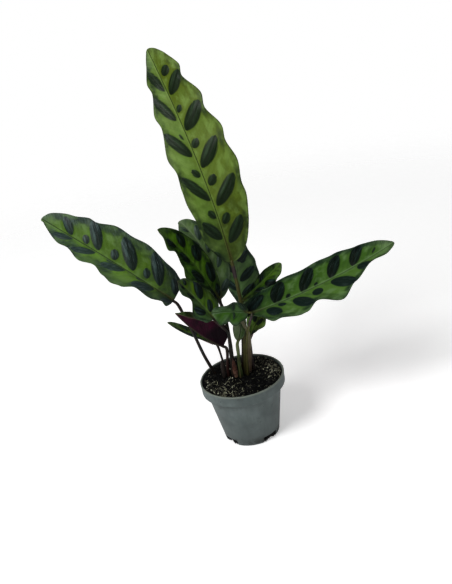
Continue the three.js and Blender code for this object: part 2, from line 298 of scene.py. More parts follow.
LEAVES = [
    Leaf(
        name="tall", kind="bright", stem="olive", base=(8.7, 3, 142.5), length=174, width=44.5,
        heading=122, turn=-16, rise=(82, 40), roll=(-21, -48), fold=(7, 14), arch=0.06,
        shape=(0.45, 0.63), lean=-0.17, radius=(1.6, 1.3),
        right_bays=(
            (3.5, -0.9), (18, -0.8), (29, -0.4), (43.5, 0.4), (52, -0.8), (67, 1.4), (81, -0.9),
            (91.5, 1.4), (106.5, -2.3), (118, 1.2), (134, -2.1), (145, 2), (158, 1.1), (167, 0.5),
        ),
        left_bays=(
            (3.5, -0.5), (20, 1.5), (37, -0.6), (50, 0.4), (60, -0.3), (73, -1.8), (86, 1.3),
            (108.5, -2.5), (121, 0.9), (136.5, -2.8), (149, 1.2), (161, -1.3), (170, -1.5),
        ),
        stalk=((3, -0.5, 51), (6.2, -2, 76), (8.4, -1, 93), (9.6, 1, 106), (9.5, 2, 119)),
        blotches=(
            (14, -2.4, 31, -16.4, 8.6), (42, -2.2, 59.6, -21.4, 9.4), (70.9, -1.4, 87, -20, 10),
            (100.1, -1, 113.5, -20.2, 11.4), (129.2, -1.6, 140.5, -16.5, 10.6),
            (18.3, 2.2, 34, 12, 8.4), (47, 1.2, 69.5, 14.6, 7.4), (80.9, 2.2, 104.4, 14.4, 8.2),
            (109.8, 2.6, 134, 11.6, 7.2), (134.2, 1.2, 157, 7.6, 6.6),
        ),
        dots=(
            (28.3, -2.6, 35.2, -7.8, 6.3), (57.2, -2.2, 63.5, -8, 6.6), (86.4, -0.8, 91, -6.6, 6.6),
            (114.6, -1, 118.6, -5.2, 5.2), (144.6, -3.2, 150, -9.2, 8.2), (5.7, 6.9, 11.3, 10.4, 3.6),
            (33.9, 1.6, 40.5, 5.3, 5), (65.2, 2.3, 72.2, 5.8, 5.2), (94.4, 3.1, 99.6, 4.6, 1.9),
        ),
    ),
    Leaf(
        name="left", kind="bluish", stem="slate", base=(-38.5, 2, 122), length=119, width=40.5,
        heading=164, turn=-20, rise=(43, 27), roll=(-15, -48), fold=(22, 17), arch=0.04,
        shape=(0.3, 0.6), lean=-0.2, radius=(1.3, 1),
        right_bays=(
            (2.4, 4), (8, 1.3), (21, -1.4), (39, 1.4), (50.5, -0.2), (65, 2), (78.5, -1.6), (86, 0.4),
            (94.5, -1), (104, 0.2), (115.5, 1),
        ),
        left_bays=(
            (2.4, 2.5), (7.5, -0.8), (14.5, 0.3), (28, -2.6), (37, 1.4), (44, 2.4), (52, 0.4),
            (61.5, -2.8), (74, 0.4), (86, -2.2), (96, -0.2), (115, -2.1),
        ),
        stalk=((-20, 9, 50), (-25.5, 8, 69), (-30, 8, 90), (-33.8, 7, 106)),
        blotches=(
            (1, -4.4, 9.2, -15, 7), (14.3, -3.4, 32.1, -23.6, 9.6), (36.6, -2.4, 56.5, -20.2, 10.4),
            (66.6, -1.6, 82.4, -18.8, 9.2), (90.4, -1.2, 102.8, -10, 7.2), (1, 3.4, 7.7, 8.6, 6.4),
            (16.7, 2, 32.6, 10.2, 9.6), (41.9, 1, 59.4, 8, 8), (67.5, 1.6, 84.4, 8.8, 6.4),
            (88.1, 1, 103, 5.2, 5.6),
        ),
        dots=(
            (25.2, -2.8, 30.4, -9.2, 5.6), (52.4, -1.7, 57.4, -8.3, 6.6), (76.6, -1.2, 82.1, -6, 5.4),
            (27.7, 0.6, 32.6, 1.6, 2.8), (52.2, 0.6, 58, 2, 2.2),
        ),
    ),
    Leaf(
        name="right", kind="calm", stem="rosy", base=(10.4, -6.7, 103.1), length=122.5, width=41,
        heading=14, turn=-22, rise=(2, 28), roll=(22, 20), fold=(11, 20), shape=(0.52, 0.56),
        lean=-0.05, radius=(1.5, 1.2),
        right_bays=(
            (1.5, -1.6), (4.5, -3.6), (9, -2.6), (17, 1.4), (23, 0), (37, 2), (42, 1.6), (53, -3),
            (71, 5.4), (85, -0.5), (102, -4.9), (117, -0.4),
        ),
        left_bays=(
            (1.4, 3.6), (4, 5.6), (8, 4.6), (13, 3.2), (20, 3), (28, 2.2), (38, 1.6), (53, -1.8),
            (67.5, 0.6), (76, 0), (83, 1.5), (94.5, -0.9), (101, 0.2), (111, 0.2), (121, -1.8),
        ),
        stalk=((6.2, 1.2, 51), (9.2, -1.4, 71), (10.6, -4.6, 87)),
        blotches=(
            (37.6, -3.6, 49.8, -17.8, 10.4), (69, -2.6, 85.4, -19, 11.4), (91.4, -1.3, 101, -10.4, 9.6),
            (16.5, -2.6, 25.8, -12, 9.2), (2, 0.6, 19.4, 12.4, 9), (24.6, 0.4, 36.1, 17, 10.8),
            (46.1, 0.4, 60.8, 16.2, 9.4), (69.6, 0.6, 82.4, 16.2, 9.2), (87.8, 1.2, 100.2, 14, 8.6),
        ),
        dots=(
            (25.9, -2.2, 31.6, -4.8, 4.6), (52.7, -5.6, 60.4, -9.4, 8.8), (34.1, 0.4, 37.9, 3.6, 3.2),
            (56.6, 0.4, 59.8, 2.6, 2.8), (105, 2.2, 109, 5, 1.8),
        ),
    ),
    Leaf(
        name="front_left", kind="deep", stem="dark", base=(-5.6, -4.5, 118.7), length=71.5,
        width=28.2, heading=190, turn=2, rise=(73, 53), roll=(-39, -40), fold=(18, 16),
        shape=(0.64, 0.68), radius=(1.2, 1),
        right_bays=(
            (4, -0.5), (10, 0.5), (17, -0.3), (27, 0.9), (36, -0.2), (50, -0.1), (58, 0.6), (66, 0.1),
        ),
        left_bays=(
            (4, -0.7), (11, -2.4), (25, 0.1), (36, 4.2), (43.5, 0.4), (54, -2.2), (59, 1.3),
            (66.5, -1.1),
        ),
        stalk=((-5.8, 3.6, 50.5), (-4, 2.6, 75), (-3.6, 1.8, 92), (-3.8, 0.4, 106)),
        blotches=(
            (1.4, -1.6, 10.5, -5.6, 6.2), (13.2, -3.6, 27.2, -9.6, 8.8), (32.2, -5, 43.6, -9.6, 9),
            (47.8, -3, 58, -7.6, 6.8), (4, 1.6, 14, 7, 6), (20.4, 4, 35, 10.6, 9),
            (38.4, 1.6, 49.6, 6.4, 8.2), (53.6, 1.8, 63, 3.8, 7),
        ),
    ),
    Leaf(
        name="mid_left", kind="pale", stem="maroon", base=(-4.5, 5, 114.7), length=68.5, width=27,
        heading=135, turn=1, rise=(98, 34), roll=(-14, -22), fold=(17, 16), shape=(0.6, 0.6),
        radius=(1.1, 0.9),
        right_bays=((8, -0.2), (30, 0.3), (45, -0.3), (60, 0.4), (66, 1)),
        left_bays=((12, 0.3), (30, -0.3), (45, 0.3), (60, 0), (66, -1)),
        stalk=((-6, 8, 50.5), (-4.9, 6.5, 72), (-4, 4.5, 90)),
        blotches=(
            (6, -1.4, 14, -8, 6.2), (24, -3.4, 33.5, -9.4, 4.6), (36.4, -1.8, 46.1, -7, 4.9),
            (47.5, -1.4, 58, -6.2, 5.5), (12, 1.4, 22, 9, 5.8), (28, 1.2, 39, 8.6, 6),
            (44, 1, 53, 7, 4.6), (57, 0.8, 64, 3.4, 3.6),
        ),
    ),
    Leaf(
        name="back", kind="painted_light_grey_green", stem="dark", base=(10.4, 21.5, 98.3), length=65.5, width=28.5,
        heading=82, turn=-5, rise=(55, 106), roll=(0, -22), fold=(18, 18), shape=(0.63, 0.74),
        lean=-0.24, radius=(1.2, 1),
        right_bays=((3, -1.9), (12, 0.5), (21, 1.6), (32, 0.2), (36, 0.5), (46, -0.9), (54, 0.3)),
        left_bays=((6, -1), (14, -0.1), (31, -1.1), (45, 0)),
        stalk=((1.5, 6, 51), (5.4, 7.5, 73), (7.8, 12, 88)),
        blotches=(
            (8.2, -0.8, 16.6, -14.8, 6.2), (19, -1, 30.8, -15.6, 7), (35, -1, 45, -13, 6.4),
            (49, -0.8, 57, -7, 4.6), (12, 1, 21, 9, 5), (26, 1, 35, 9, 5), (40, 1, 49, 7, 4.6),
        ),
        dots=((33.8, -4.2, 39, -9.6, 4.2),),
    ),
    Leaf(
        name="back_right", kind="deep", stem="green", base=(11, 14.7, 105.4), length=41,
        width=13.5, heading=11, turn=-2, rise=(27, 37), roll=(38, 44), fold=(16, 14), arch=0.06,
        shape=(0.62, 0.58), lean=0.05, radius=(1.1, 0.9),
        right_bays=((3, 0.5), (8, 0), (13, -1), (18, -0.8), (23, 0.3), (27, 1.5), (31, 0.8), (35, 1.2)),
        left_bays=((8, -2.6), (18, -2.8), (23, -1.4), (29, -0.4)),
        stalk=((5.6, 5.5, 51), (8.9, 4, 73), (9.8, 4, 90)),
        blotches=(
            (12.6, -1, 19.2, -5.6, 5), (21.5, -2, 28.6, -7, 6.4), (10, 0.8, 16, 3.2, 3),
            (19, 0.8, 25, 3.6, 3),
        ),
    ),
    Leaf(
        name="centre", kind="shaded", stem="slate", base=(-12, -6.5, 105.2), length=38.5,
        width=28, heading=153, turn=9, rise=(57, 53), roll=(-19, -3), fold=(12, 20), shape=(0.52, 0.6),
        lean=0.04, radius=(1.1, 0.9),
        right_bays=((2, 1.6), (6, 3), (14.5, 2), (20, 1.4), (26, 0.4), (31, 1.2), (36.5, 2)),
        left_bays=((1.5, 1.4), (5, 0.4), (12, 1.8), (22.5, -4), (31.5, 1), (34, 1.5)),
        stalk=((-6.2, -0.7, 50.5), (-5.2, -3.4, 73.8), (-4.2, -6, 91), (-6.8, -8.8, 97.6)),
        blotches=(
            (5.4, -1.2, 13.1, -7.5, 5.2), (17.1, -2.4, 29.9, -11.5, 7.6), (32, -1.4, 36.6, -4.6, 3.4),
            (7.6, 2.6, 16.7, 11.5, 7), (21, 1.6, 28, 5.6, 4), (31, 1.6, 36, 5, 4.6),
        ),
        dots=((32.5, 3.7, 35.6, 1.4, 2.2),),
    ),
    Leaf(
        name="low_centre", kind="fresh", stem="olive", base=(13.4, -9.5, 106.4), length=27.5,
        width=15.5, heading=187, turn=-3, rise=(24, 2), roll=(-47, -48), fold=(16, 10), arch=0.06,
        shape=(0.56, 0.62), lean=0.05, radius=(1, 0.8),
        right_bays=((1, 1.6), (5, 0.6), (10, -0.6), (16.5, -3.9)),
        left_bays=((1, 2), (5.5, 1.6), (9, 3.6), (12, 3), (15.4, 0.4), (18.4, 2.4), (22, 4)),
        stalk=((4.6, -3.4, 51.2), (7.2, -6, 74), (10.2, -11, 91), (12.6, -12.6, 98.6)),
        blotches=((1.6, -0.8, 8, -6, 5), (11, -0.4, 12.4, -7.2, 3), (11.2, 0.4, 11.8, 7, 2.4)),
    ),
    Leaf(
        name="low_left", kind="shaded", stem="dark", base=(-9.6, -3.5, 80.6), length=46, width=32,
        heading=187, turn=0, rise=(40, 61), roll=(60, -12), fold=(33, 72), shape=(0.3, 0.86), lean=0.05,
        radius=(1.2, 1),
        right_bays=((12, -3), (18, -1), (24, 2.5), (30, 5.6), (35, 6), (40, 4.4)),
        left_bays=(
            (1, 1.5), (6, 0.4), (11, -1), (16, -2), (20.6, 0.6), (24, -1.6), (28, -4), (36, -3.6),
            (42.5, -1),
        ),
        stalk=((-10.4, 1.2, 50), (-9, -1.2, 64), (-7.4, -2.8, 74.5)),
        blotches=(
            (6, -1, 14, -8, 5), (17, -1, 25, -8, 5), (27, -1, 34, -6, 4), (6, 1, 14, 9, 5.4),
            (17, 1, 25, 9, 5.4), (27, 1, 34, 6, 4.4),
        ),
    ),
    Leaf(
        name="narrow", kind="shaded", stem="slate", base=(-16.5, 17, 73.8), length=40.5, width=10,
        heading=184, turn=-1, rise=(36, 43), roll=(-10, -23), fold=(25, 23), shape=(0.56, 0.64),
        radius=(0.9, 0.7),
        right_bays=((12, 0.4), (24, -0.4)), left_bays=((10, -0.3), (22, 0.4)),
        stalk=((-12, 10, 50), (-12.8, 13, 62)),
        blotches=(
            (7, -0.6, 12, -3, 2.4), (15, -0.6, 20, -3, 2.4), (23, -0.6, 28, -2.6, 2.2),
            (10, 0.6, 15, 3, 2.4), (18, 0.6, 23, 3, 2.4), (26, 0.6, 31, 2.4, 2),
        ),
    ),
    Leaf(
        name="young", kind="young", stem="green", base=(2.4, -4.6, 82.4), length=20, width=10.4,
        heading=10, turn=0, rise=(66, 80), roll=(92, 92), fold=(10, 8), shape=(0.6, 0.5), lean=0.2,
        radius=(1.7, 1),
        right_bays=((6, 0.2), (13, -0.2)), left_bays=((6, -0.2), (13, 0.2)),
        stalk=((-0.6, -3.6, 51), (-0.2, -4, 63), (0.6, -4.4, 73)), blotches=(),
    ),
    Leaf(
        name="low_right", kind="painted_light_lime", stem="maroon", base=(11.9, 2.8, 80.6), length=36,
        width=21, heading=18, turn=0, rise=(58, 30), roll=(4, 12), fold=(13, 13), shape=(0.62, 0.65),
        lean=-0.05, radius=(1.1, 0.9),
        right_bays=((2, -1.9), (7, -1), (13.5, 1.3), (20, -1.5), (28, 0.5)),
        left_bays=((3, 2.2), (7, 7.6), (11, 7.6), (16, 3), (25, -0.5)),
        stalk=((8.9, 5.1, 50.8), (10.6, 3.6, 68)),
        blotches=(
            (10.6, -0.8, 17, -7, 5.2), (21, -0.8, 27, -5.6, 4.4), (2, -0.6, 7, -5, 4),
            (11.6, 0.8, 18, 7.6, 5.4), (21, 0.8, 27, 6, 4.4),
        ),
    ),
]


class Sheath(Leaf):
    """A dry sheath, built as a plain narrow blade."""

    turn, rise, roll, fold = 0, (86, 88), (0, 0), (-28, -20)
    arch, shape, lean, ruffle = 0, (0.3, 0.8), 0, 0
    edge, rib, pleat, groove = 0.35, (0.6, 0.35), 0, 0
    right_bays = left_bays = blotches = ()


SHEATHS = [
    Sheath(name="front", base=(-4.4, -5.6, 52.4), length=17, width=3.8, heading=90),
    Sheath(name="left", base=(-13.8, -2, 52.1), length=15, width=3, heading=70),
    Sheath(name="right", base=(11, 1.6, 52.3), length=13, width=3, heading=150),
]

# pairs are for the base and the tip
LEAST_HALF = (1.1, 0.25)  # half width where the outline has run out
RIB_WIDTH = (1.5, 0.6)
GROOVE_WIDTH = (0.55, 0.34)
GROOVE_DEPTH = (1, 0.4)  # as a share of the leaf's groove
CREASE = 0.35  # how far out the fold is rounded off
EVENNESS = 0.22  # of a blade's columns, which lie closer together towards the midrib
VEIN_SLOPE, VEIN_BEND = 0.75, 0.012  # a side vein's course, by the distance from the midrib
VEIN_GAP = 1.25  # between the finest side veins
PLEAT_GAP, PLEAT_WIDTH = 4.6, 44  # the gap between pleats, on a leaf of this width
CLEARANCE = 0.3
FAR = 9.0  # the distance that stands for no marking near by
BOW = 0.4  # how far a marking's centre line bends
PUFF, PUFF_SPREAD = 0.12, 0.8  # a marking's swelling, as shares of its width and half width
DENT, DENT_SPREAD = 0.04, 0.16  # the vein along the middle of it
MARKS = (("blotches", 0.56, 1.0), ("dots", 0.5, 0.45))  # with how pointed and how raised they are


def directions(leaf, s):
    """Unit vectors along the midrib, to the left and up off the face, for an array of s."""
    heading = np.radians(leaf.heading + leaf.turn * s)
    rise = np.radians(lerp(leaf.rise, s))
    roll = np.radians(lerp(leaf.roll, s))[:, None]
    flat = np.cos(rise)
    along = np.stack([flat * np.cos(heading), flat * np.sin(heading), np.sin(rise)], 1)
    level = np.stack([-np.sin(heading), np.cos(heading), 0 * heading], 1)
    left = level * np.cos(roll) + np.cross(along, level) * np.sin(roll)
    return along, left, np.cross(along, left)


def midrib(leaf, count):
    """count + 1 stations from base to tip, with their places and directions."""
    s = np.linspace(0, 1, count + 1)
    ahead = directions(leaf, (s[:-1] + s[1:]) / 2)[0]
    steps = np.cumsum(ahead, 0) * leaf.length / count
    line = np.vstack([np.zeros(3), steps]) + np.array(leaf.base, float)
    return (s, line, *directions(leaf, s))


def outline(leaf, s, side):
    """Half width before the margin swings out or in; side is 1 on the left and -1 on the right."""
    low, high = leaf.shape
    widest = low / (low + high)
    peak = widest**low * (1 - widest) ** high
    return leaf.width / 2 * (1 + side * leaf.lean) * s**low * (1 - s) ** high / peak


def swing(leaf, s, bays):
    """How far the margin swings out from the plain outline at s, smoothly from bay to bay."""
    stations, out = np.array([(0, 0), *bays, (leaf.length, 0)], float).T
    at = s * leaf.length
    after = np.clip(np.searchsorted(stations, at), 1, len(stations) - 1)
    share = (at - stations[after - 1]) / (stations[after] - stations[after - 1])
    share = share * share * (3 - 2 * share)
    return out[after - 1] + (out[after] - out[after - 1]) * share


def lens(x, y, mark, pointed, bow):
    """Signed distance d to a marking, less than 0 inside, and its own coordinates: c from -1 to
    1 along it and q from -1 to 1 across it. bow bends its centre line."""
    x0, y0, x1, y1, width = mark
    length = math.hypot(x1 - x0, y1 - y0)
    ex, ey = (x1 - x0) / length, (y1 - y0) / length
    dx, dy = x - x0, y - y0
    c = 2 * (dx * ex + dy * ey) / length - 1
    q = dy * ex - dx * ey - bow * (1 - np.clip(c, -1, 1) ** 2)
    half = width / 2 * np.clip(1 - c**2, 0, 1) ** pointed
    beyond = np.clip(np.abs(c) - 1, 0, None) * length / 2
    distance = np.where(beyond > 0, np.hypot(q, beyond), np.abs(q) - half)
    return distance, c, 2 * q / width


def markings(leaf, x, y):
    """The markings' signed distance over the blade, the relief that they bring, and how far
    across and along the nearest one a point lies."""
    distance = np.full(x.shape, FAR)
    relief, across, along = np.zeros(x.shape), np.zeros(x.shape), np.zeros(x.shape)
    for key, pointed, raised in MARKS:
        for mark in getattr(leaf, key):
            side = 1 if mark[1] + mark[3] > 0 else -1
            d, c, q = lens(x, y, mark, pointed, side * BOW * raised)
            own_half = y * side > -BOW
            nearer = own_half & (d < distance)
            distance[nearer] = d[nearer]
            across[nearer] = -side * q[nearer]
            along[nearer] = c[nearer]
            fade = np.clip(1 - c**2, 0, 1) ** 0.7 * own_half
            puff = PUFF * np.exp(-((q / PUFF_SPREAD) ** 2))
            dent = DENT * np.exp(-((q / DENT_SPREAD) ** 2))
            relief += fade * (puff - dent) * raised * mark[4]
    return distance, relief, across, along


def blade_surface(leaf, count, columns):
    """A blade's upper face, its margin and its underside, and the coordinates of its pattern."""
    stations, line, _, left, up = midrib(leaf, count)
    t = np.linspace(-1, 1, columns)
    t = np.sign(t) * (EVENNESS * np.abs(t) + (1 - EVENNESS) * np.abs(t) ** 1.5)
    s, t = np.meshgrid(stations, t, indexing="ij")
    side = np.where(t < 0, -1.0, 1.0)
    reach = np.abs(t)
    line, left, up = line[:, None, :], left[:, None, :], up[:, None, :]

    swung = np.where(side > 0, swing(leaf, s, leaf.left_bays), swing(leaf, s, leaf.right_bays))
    half = np.maximum(outline(leaf, s, side) + swung, lerp(LEAST_HALF, s))
    x, y = s * leaf.length, t * half
    lateral = x - VEIN_SLOPE * np.abs(y) - VEIN_BEND * y**2
    marking, relief, crosswise, lengthwise = markings(leaf, x, y)

    fold = np.radians(lerp(leaf.fold, s))
    crease = CREASE / np.maximum(half, 1)
    soft = np.sqrt(reach**2 + crease**2) - crease
    lift = half * (soft * np.sin(fold) - leaf.arch * reach**2)
    lift -= leaf.ruffle * swung * reach**3
    body = np.clip(np.minimum(reach * 6, (1 - reach) * 5), 0, 1)
    body = body * np.clip(np.minimum(s / 0.04, (1 - s) / 0.05), 0, 1)
    size = leaf.width / PLEAT_WIDTH
    pleat = leaf.pleat * np.cos(TURN * lateral / (PLEAT_GAP * (0.5 + 0.5 * size)))
    lift += body * (relief + pleat * (0.4 + 0.6 * size))
    groove = np.exp(-((y / lerp(GROOVE_WIDTH, s)) ** 2))
    lift -= leaf.groove * lerp(GROOVE_DEPTH, s) * groove

    face = line + left * (side * half * reach * np.cos(fold))[..., None] + up * lift[..., None]
    rib = lerp(leaf.rib, s) - leaf.edge
    depth = leaf.edge + rib * np.exp(-((y / lerp(RIB_WIDTH, s)) ** 2))
    under = face - up * depth[..., None]
    margin = (face + under) / 2 + left * (side * 0.45 * leaf.edge)[..., None]
    rim = np.minimum(half - np.abs(y), (1 - s) * leaf.length * 0.8)
    fields = {
        "leaf": np.stack([x, y, lateral], -1),
        "field": np.stack([marking, rim, s], -1),
        "spot": np.stack([crosswise, lengthwise, t], -1),
    }
    return face, margin, under, fields


def add_blade(leaf, materials, name, node, step):
    """A closed blade of two faces, with a rounded margin all the way round."""
    count = math.ceil(leaf.length / step)
    columns = 2 * math.ceil(leaf.width / 2 / step * 1.25) + 1
    face, margin, under, fields = blade_surface(leaf, count, columns)

    def loops(upper, margin, lower):
        """Once round each station: the face, the left margin, the underside, the right margin."""
        rows = [upper, margin[:, -1:], lower[:, ::-1], margin[:, :1]]
        return np.concatenate(rows, 1).reshape(-1, 3)

    sides = 2 * columns + 2
    faces = ring_faces(count + 1, sides)
    kinds = np.zeros((count, sides), np.int32)
    kinds[:, columns:2 * columns + 1] = 1
    for first, order in ((0, 1), (count * sides, -1)):
        loop = [first + i for i in range(sides)]
        upper, lower = loop[:columns], loop[columns + 1:-1][::-1]
        ends = [(upper[i], lower[i], lower[i + 1], upper[i + 1]) for i in range(columns - 1)]
        ends += [(upper[0], loop[-1], lower[0]), (upper[-1], lower[-1], loop[columns])]
        faces += [end[::order] for end in ends]
    kinds = [*kinds.ravel(), *[1] * (len(faces) - kinds.size)]
    fields = {key: loops(values, values, values) for key, values in fields.items()}
    piece = make_piece(name, loops(face, margin, under), faces, materials, kinds, fields)
    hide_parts(node)


# ---- Leaf materials -----------------------------------------------------------------------

# ground is the colour between the markings on the right half, and left_ground_painted_light on the
# left half: a colour of its own that also paints the light and shade that half gets. pale is the
# ground where it is lightest, mark the colour of the dark markings and painted_glint the painted
# highlight on them, and line the midrib. shore is how far in from the margin the deep colour runs,
# and banks how much of it there is away from the markings, on the right half and the left.
# swell_shade is how much painted shade darkens the ground in bands along the side veins, in place
# of the blade's swells, silver how much the fine pale hairs show, low how dark the blade is at its
# base and how far up, as a share of its length, that runs, and glow how pale its middle is.
# half_sheen is how far the markings take the painted highlight all over, on the right half and the
# left, and shine the specular level.
FACES = {
    # the midrib line of this look is dark, as painted shade in the midrib's groove
    "bright": dict(
        ground=(94, 110, 26), left_ground_painted_light=(104, 132, 54), pale=(132, 158, 84), deep=(34, 52, 30),
        mark=(14, 32, 16), painted_glint=(48, 70, 46), line=(44, 52, 18), shore=7, swell_shade=0.12,
        silver=0.12, banks=(0.3, 0.45), low=(0.62, 0.36), glow=0.22,
    ),
    "bluish": dict(
        ground=(84, 114, 34), left_ground_painted_light=(120, 156, 68), pale=(116, 144, 88), deep=(48, 64, 60),
        mark=(18, 32, 32), painted_glint=(76, 96, 94), line=(44, 56, 32), shore=12, swell_shade=0.2,
        silver=0.75, banks=(0.95, 0.6), low=(0.72, 0.3), half_sheen=(0.0, 0.4),
    ),
    "calm": dict(
        ground=(92, 124, 58), left_ground_painted_light=(72, 106, 40), pale=(116, 144, 98), deep=(20, 42, 34),
        mark=(0, 9, 9), painted_glint=(24, 42, 42), line=(66, 80, 54), shore=8, swell_shade=0.35,
        silver=0.25, banks=(0.6, 0.9), low=(0.75, 0.32), shine=0.08, half_sheen=(0.7, 0.0),
    ),
    "deep": dict(
        ground=(78, 114, 18), left_ground_painted_light=(60, 98, 28), pale=(108, 144, 60), deep=(8, 30, 16),
        mark=(0, 8, 5), painted_glint=(28, 52, 48), line=(78, 98, 52), shore=8, swell_shade=0.8,
        silver=0.3, banks=(0.8, 0.7), low=(0.75, 0.45), shine=0.08,
    ),
    # ground painted lighter, as painted light, for a leaf that lies in the shadow of the tall one
    "painted_light_grey_green": dict(
        ground=(118, 154, 96), left_ground_painted_light=(104, 140, 88), pale=(138, 168, 120), deep=(32, 52, 44),
        mark=(16, 34, 34), painted_glint=(58, 84, 82), line=(110, 128, 90), shore=7, swell_shade=0.4,
        silver=0.35, banks=(0.7, 0.7), low=(0.4, 0.2),
    ),
    "pale": dict(
        ground=(92, 118, 66), left_ground_painted_light=(98, 124, 78), pale=(126, 146, 112), deep=(52, 72, 52),
        mark=(34, 52, 44), painted_glint=(88, 104, 96), line=(118, 134, 104), shore=6, swell_shade=0.5,
        silver=0.5, banks=(0.5, 0.5), low=(0.5, 0.4),
    ),
    "shaded": dict(
        ground=(96, 130, 30), left_ground_painted_light=(92, 128, 78), pale=(116, 146, 104), deep=(26, 46, 36),
        mark=(8, 22, 26), painted_glint=(58, 82, 86), line=(100, 114, 74), shore=6, swell_shade=0.6,
        silver=0.45, banks=(0.6, 0.5), low=(0.3, 0.2),
    ),
    "fresh": dict(
        ground=(70, 98, 58), left_ground_painted_light=(64, 102, 26), pale=(96, 118, 90), deep=(22, 46, 24),
        mark=(24, 40, 28), painted_glint=(48, 68, 52), line=(56, 82, 36), shore=4, swell_shade=0.8,
        silver=0.3, banks=(0.6, 0.6), low=(0.3, 0.2),
    ),
    # ground painted lighter, as painted light, for a low leaf that lies in the shade of the leaves
    # above
    "painted_light_lime": dict(
        ground=(146, 186, 78), left_ground_painted_light=(108, 146, 62), pale=(156, 186, 108), deep=(40, 70, 44),
        mark=(20, 44, 32), painted_glint=(56, 84, 66), line=(96, 120, 70), shore=5, swell_shade=0.4,
        silver=0.3, banks=(0.7, 0.5), low=(0.2, 0.1),
    ),
    "young": dict(
        ground=(70, 94, 48), left_ground_painted_light=(112, 130, 94), pale=(130, 144, 116), deep=(60, 78, 50),
        mark=(44, 60, 36), painted_glint=(70, 84, 60), line=(46, 58, 28), shore=3, swell_shade=0.4,
        silver=0.4, banks=(0.3, 0.3), low=(0.4, 0.4),
    ),
}


def side_veins(lateral):
    """0 along each fine side vein and 1 half way between two."""
    return abs((lateral * (math.pi / VEIN_GAP)).math("SINE"))


def face_material(
    name, ground, left_ground_painted_light, pale, deep, mark, painted_glint, line, shore, swell_shade, silver, banks, low,
    glow=0.0, half_sheen=(0.0, 0.0), shine=0.2,
):
    g = Graph(name)
    x, y, lateral = g.field("leaf")
    marking, rim, s = g.field("field")
    across, along, reach = g.field("spot")
    out = abs(y)
    left_half = reach.ramp(-0.05, 0.05)
    streaks = g.weave(lateral * 0.9, y * 0.07, 0, 4)
    hairs = g.weave(lateral * 2.6, y * 0.16, 5, 3)
    clouds = g.weave(x * 0.085, y * 0.085, 0, 3)
    shoals = g.weave(x * 0.1, y * 0.16, 7, 2)
    swell = g.weave(lateral * 0.16, y * 0.05, 3, 2)
    veins = side_veins(lateral)

    # the ground; the left half has a colour of its own that also paints the light and shade that half
    # gets
    left_light_share = clouds.ramp(0.32, 0.68, -0.25, 0.35) + reach.ramp(-0.2, 0.3, -0.1, 0.85)
    light = shoals.ramp(0.4, 0.62) * streaks.ramp(0.2, 0.7, 0.55, 1) * marking.ramp(0.5, 4)
    fall = s + clouds.ramp(0.35, 0.65, -0.06, 0.06)
    color = g.layers(
        ground, (left_light_share.clamped(), left_ground_painted_light), (light * 0.7, pale),
        (abs(s - 0.46).ramp(0.08, 0.32, glow, 0), pale),
        # painted shade in bands along the side veins, in place of the blade's swells
        (swell.ramp(0.3, 0.54, swell_shade, 0), deep), (veins.ramp(0, 0.35, 0.08, 0), deep),
        (fall.ramp(0, low[1], low[0], 0), deep),
    )

    # the deep colour along the margin, most of all where a marking runs out to it
    edge = rim + shoals.ramp(0.35, 0.65, -0.1 * shore, 0.22 * shore) + streaks * 1.2
    bank = left_half.ramp(0, 1, *banks).larger(marking.ramp(1, 9, 1, 0))
    shade = edge.ramp(0.2 * shore, shore, 0.95, 0) * bank
    # painted sheen: the pale colour in patches near the margin
    margin_sheen = rim.ramp(0.3, 0.45 * shore, 0.5, 0) * clouds.ramp(0.46, 0.62)

    # the markings, feathered towards the margin, with a painted highlight as a lighter band to each
    # side of their vein, and the same painted highlight laid over the markings of a whole half
    feather = (streaks - 0.5) * along.ramp(-0.6, 1, 0.8, 3)
    inside = (marking + feather).ramp(-0.8, 0.55, 1, 0)
    sheen_bands = abs(across - 0.42).ramp(0.04, 0.46, 0.85, 0)
    sheen_bands = sheen_bands.larger(abs(across + 0.48).ramp(0, 0.38, 0.4, 0))
    sheen = sheen_bands * streaks.ramp(0.3, 0.6, 0.4, 1) * along.ramp(-0.9, 0.1, 0.2, 1)
    sheen = (sheen * shoals.ramp(0.35, 0.62, 0.55, 1.25)).clamped()
    dark = g.mix(sheen.larger(left_half.ramp(0, 1, *half_sheen)), mark, painted_glint)

    # fine pale hairs along the side veins, on the markings and the margin
    shown = (inside * along.ramp(-0.8, 0.4, 0.3, 1)).larger(shade)
    hair = hairs.ramp(0.52, 0.7, 0, silver) * shown

    # the tip, paler with a painted highlight that is strongest on the left half, and the midrib, with a
    # painted highlight as a lighter line on its left
    tip = s.ramp(0.86, 0.97, 0, 0.55) * streaks.ramp(0.35, 0.6, 0.5, 1)
    midrib_highlight = out.ramp(0.5, 1.6, 0.6, 0) * left_half.ramp(0, 1, 0.2, 1)
    foot = s.ramp(0.01, 0.2, 0.7, 0) * out.ramp(0.4, 2.2, 1, 0)
    thin = rim.ramp(0.15, 0.75, 0.7, 0) * swell.ramp(0.38, 0.6, 1, 0.25)
    color = g.layers(
        color, (shade, deep), (margin_sheen, pale), (inside * 0.95, dark), (hair, (126, 144, 142)),
        (tip * left_half.ramp(0, 1, 0.35, 1), (128, 152, 108)), (midrib_highlight, pale),
        (out.ramp(0.12, 0.45, 0.85, 0), line), (foot, (66, 58, 26)), (thin, (36, 44, 28)),
    )

    fine = g.noise(g.place(), 900, 2)
    ridges = (veins * 0.8 + streaks * 1.2) * inside.ramp(0, 1, 1, 0.35)
    roughness = inside.ramp(0, 1, 0.42, 0.38) + fine * 0.12
    return g.finish(color, roughness, g.bump(fine, 0.015, g.bump(ridges, 0.05)), shine)


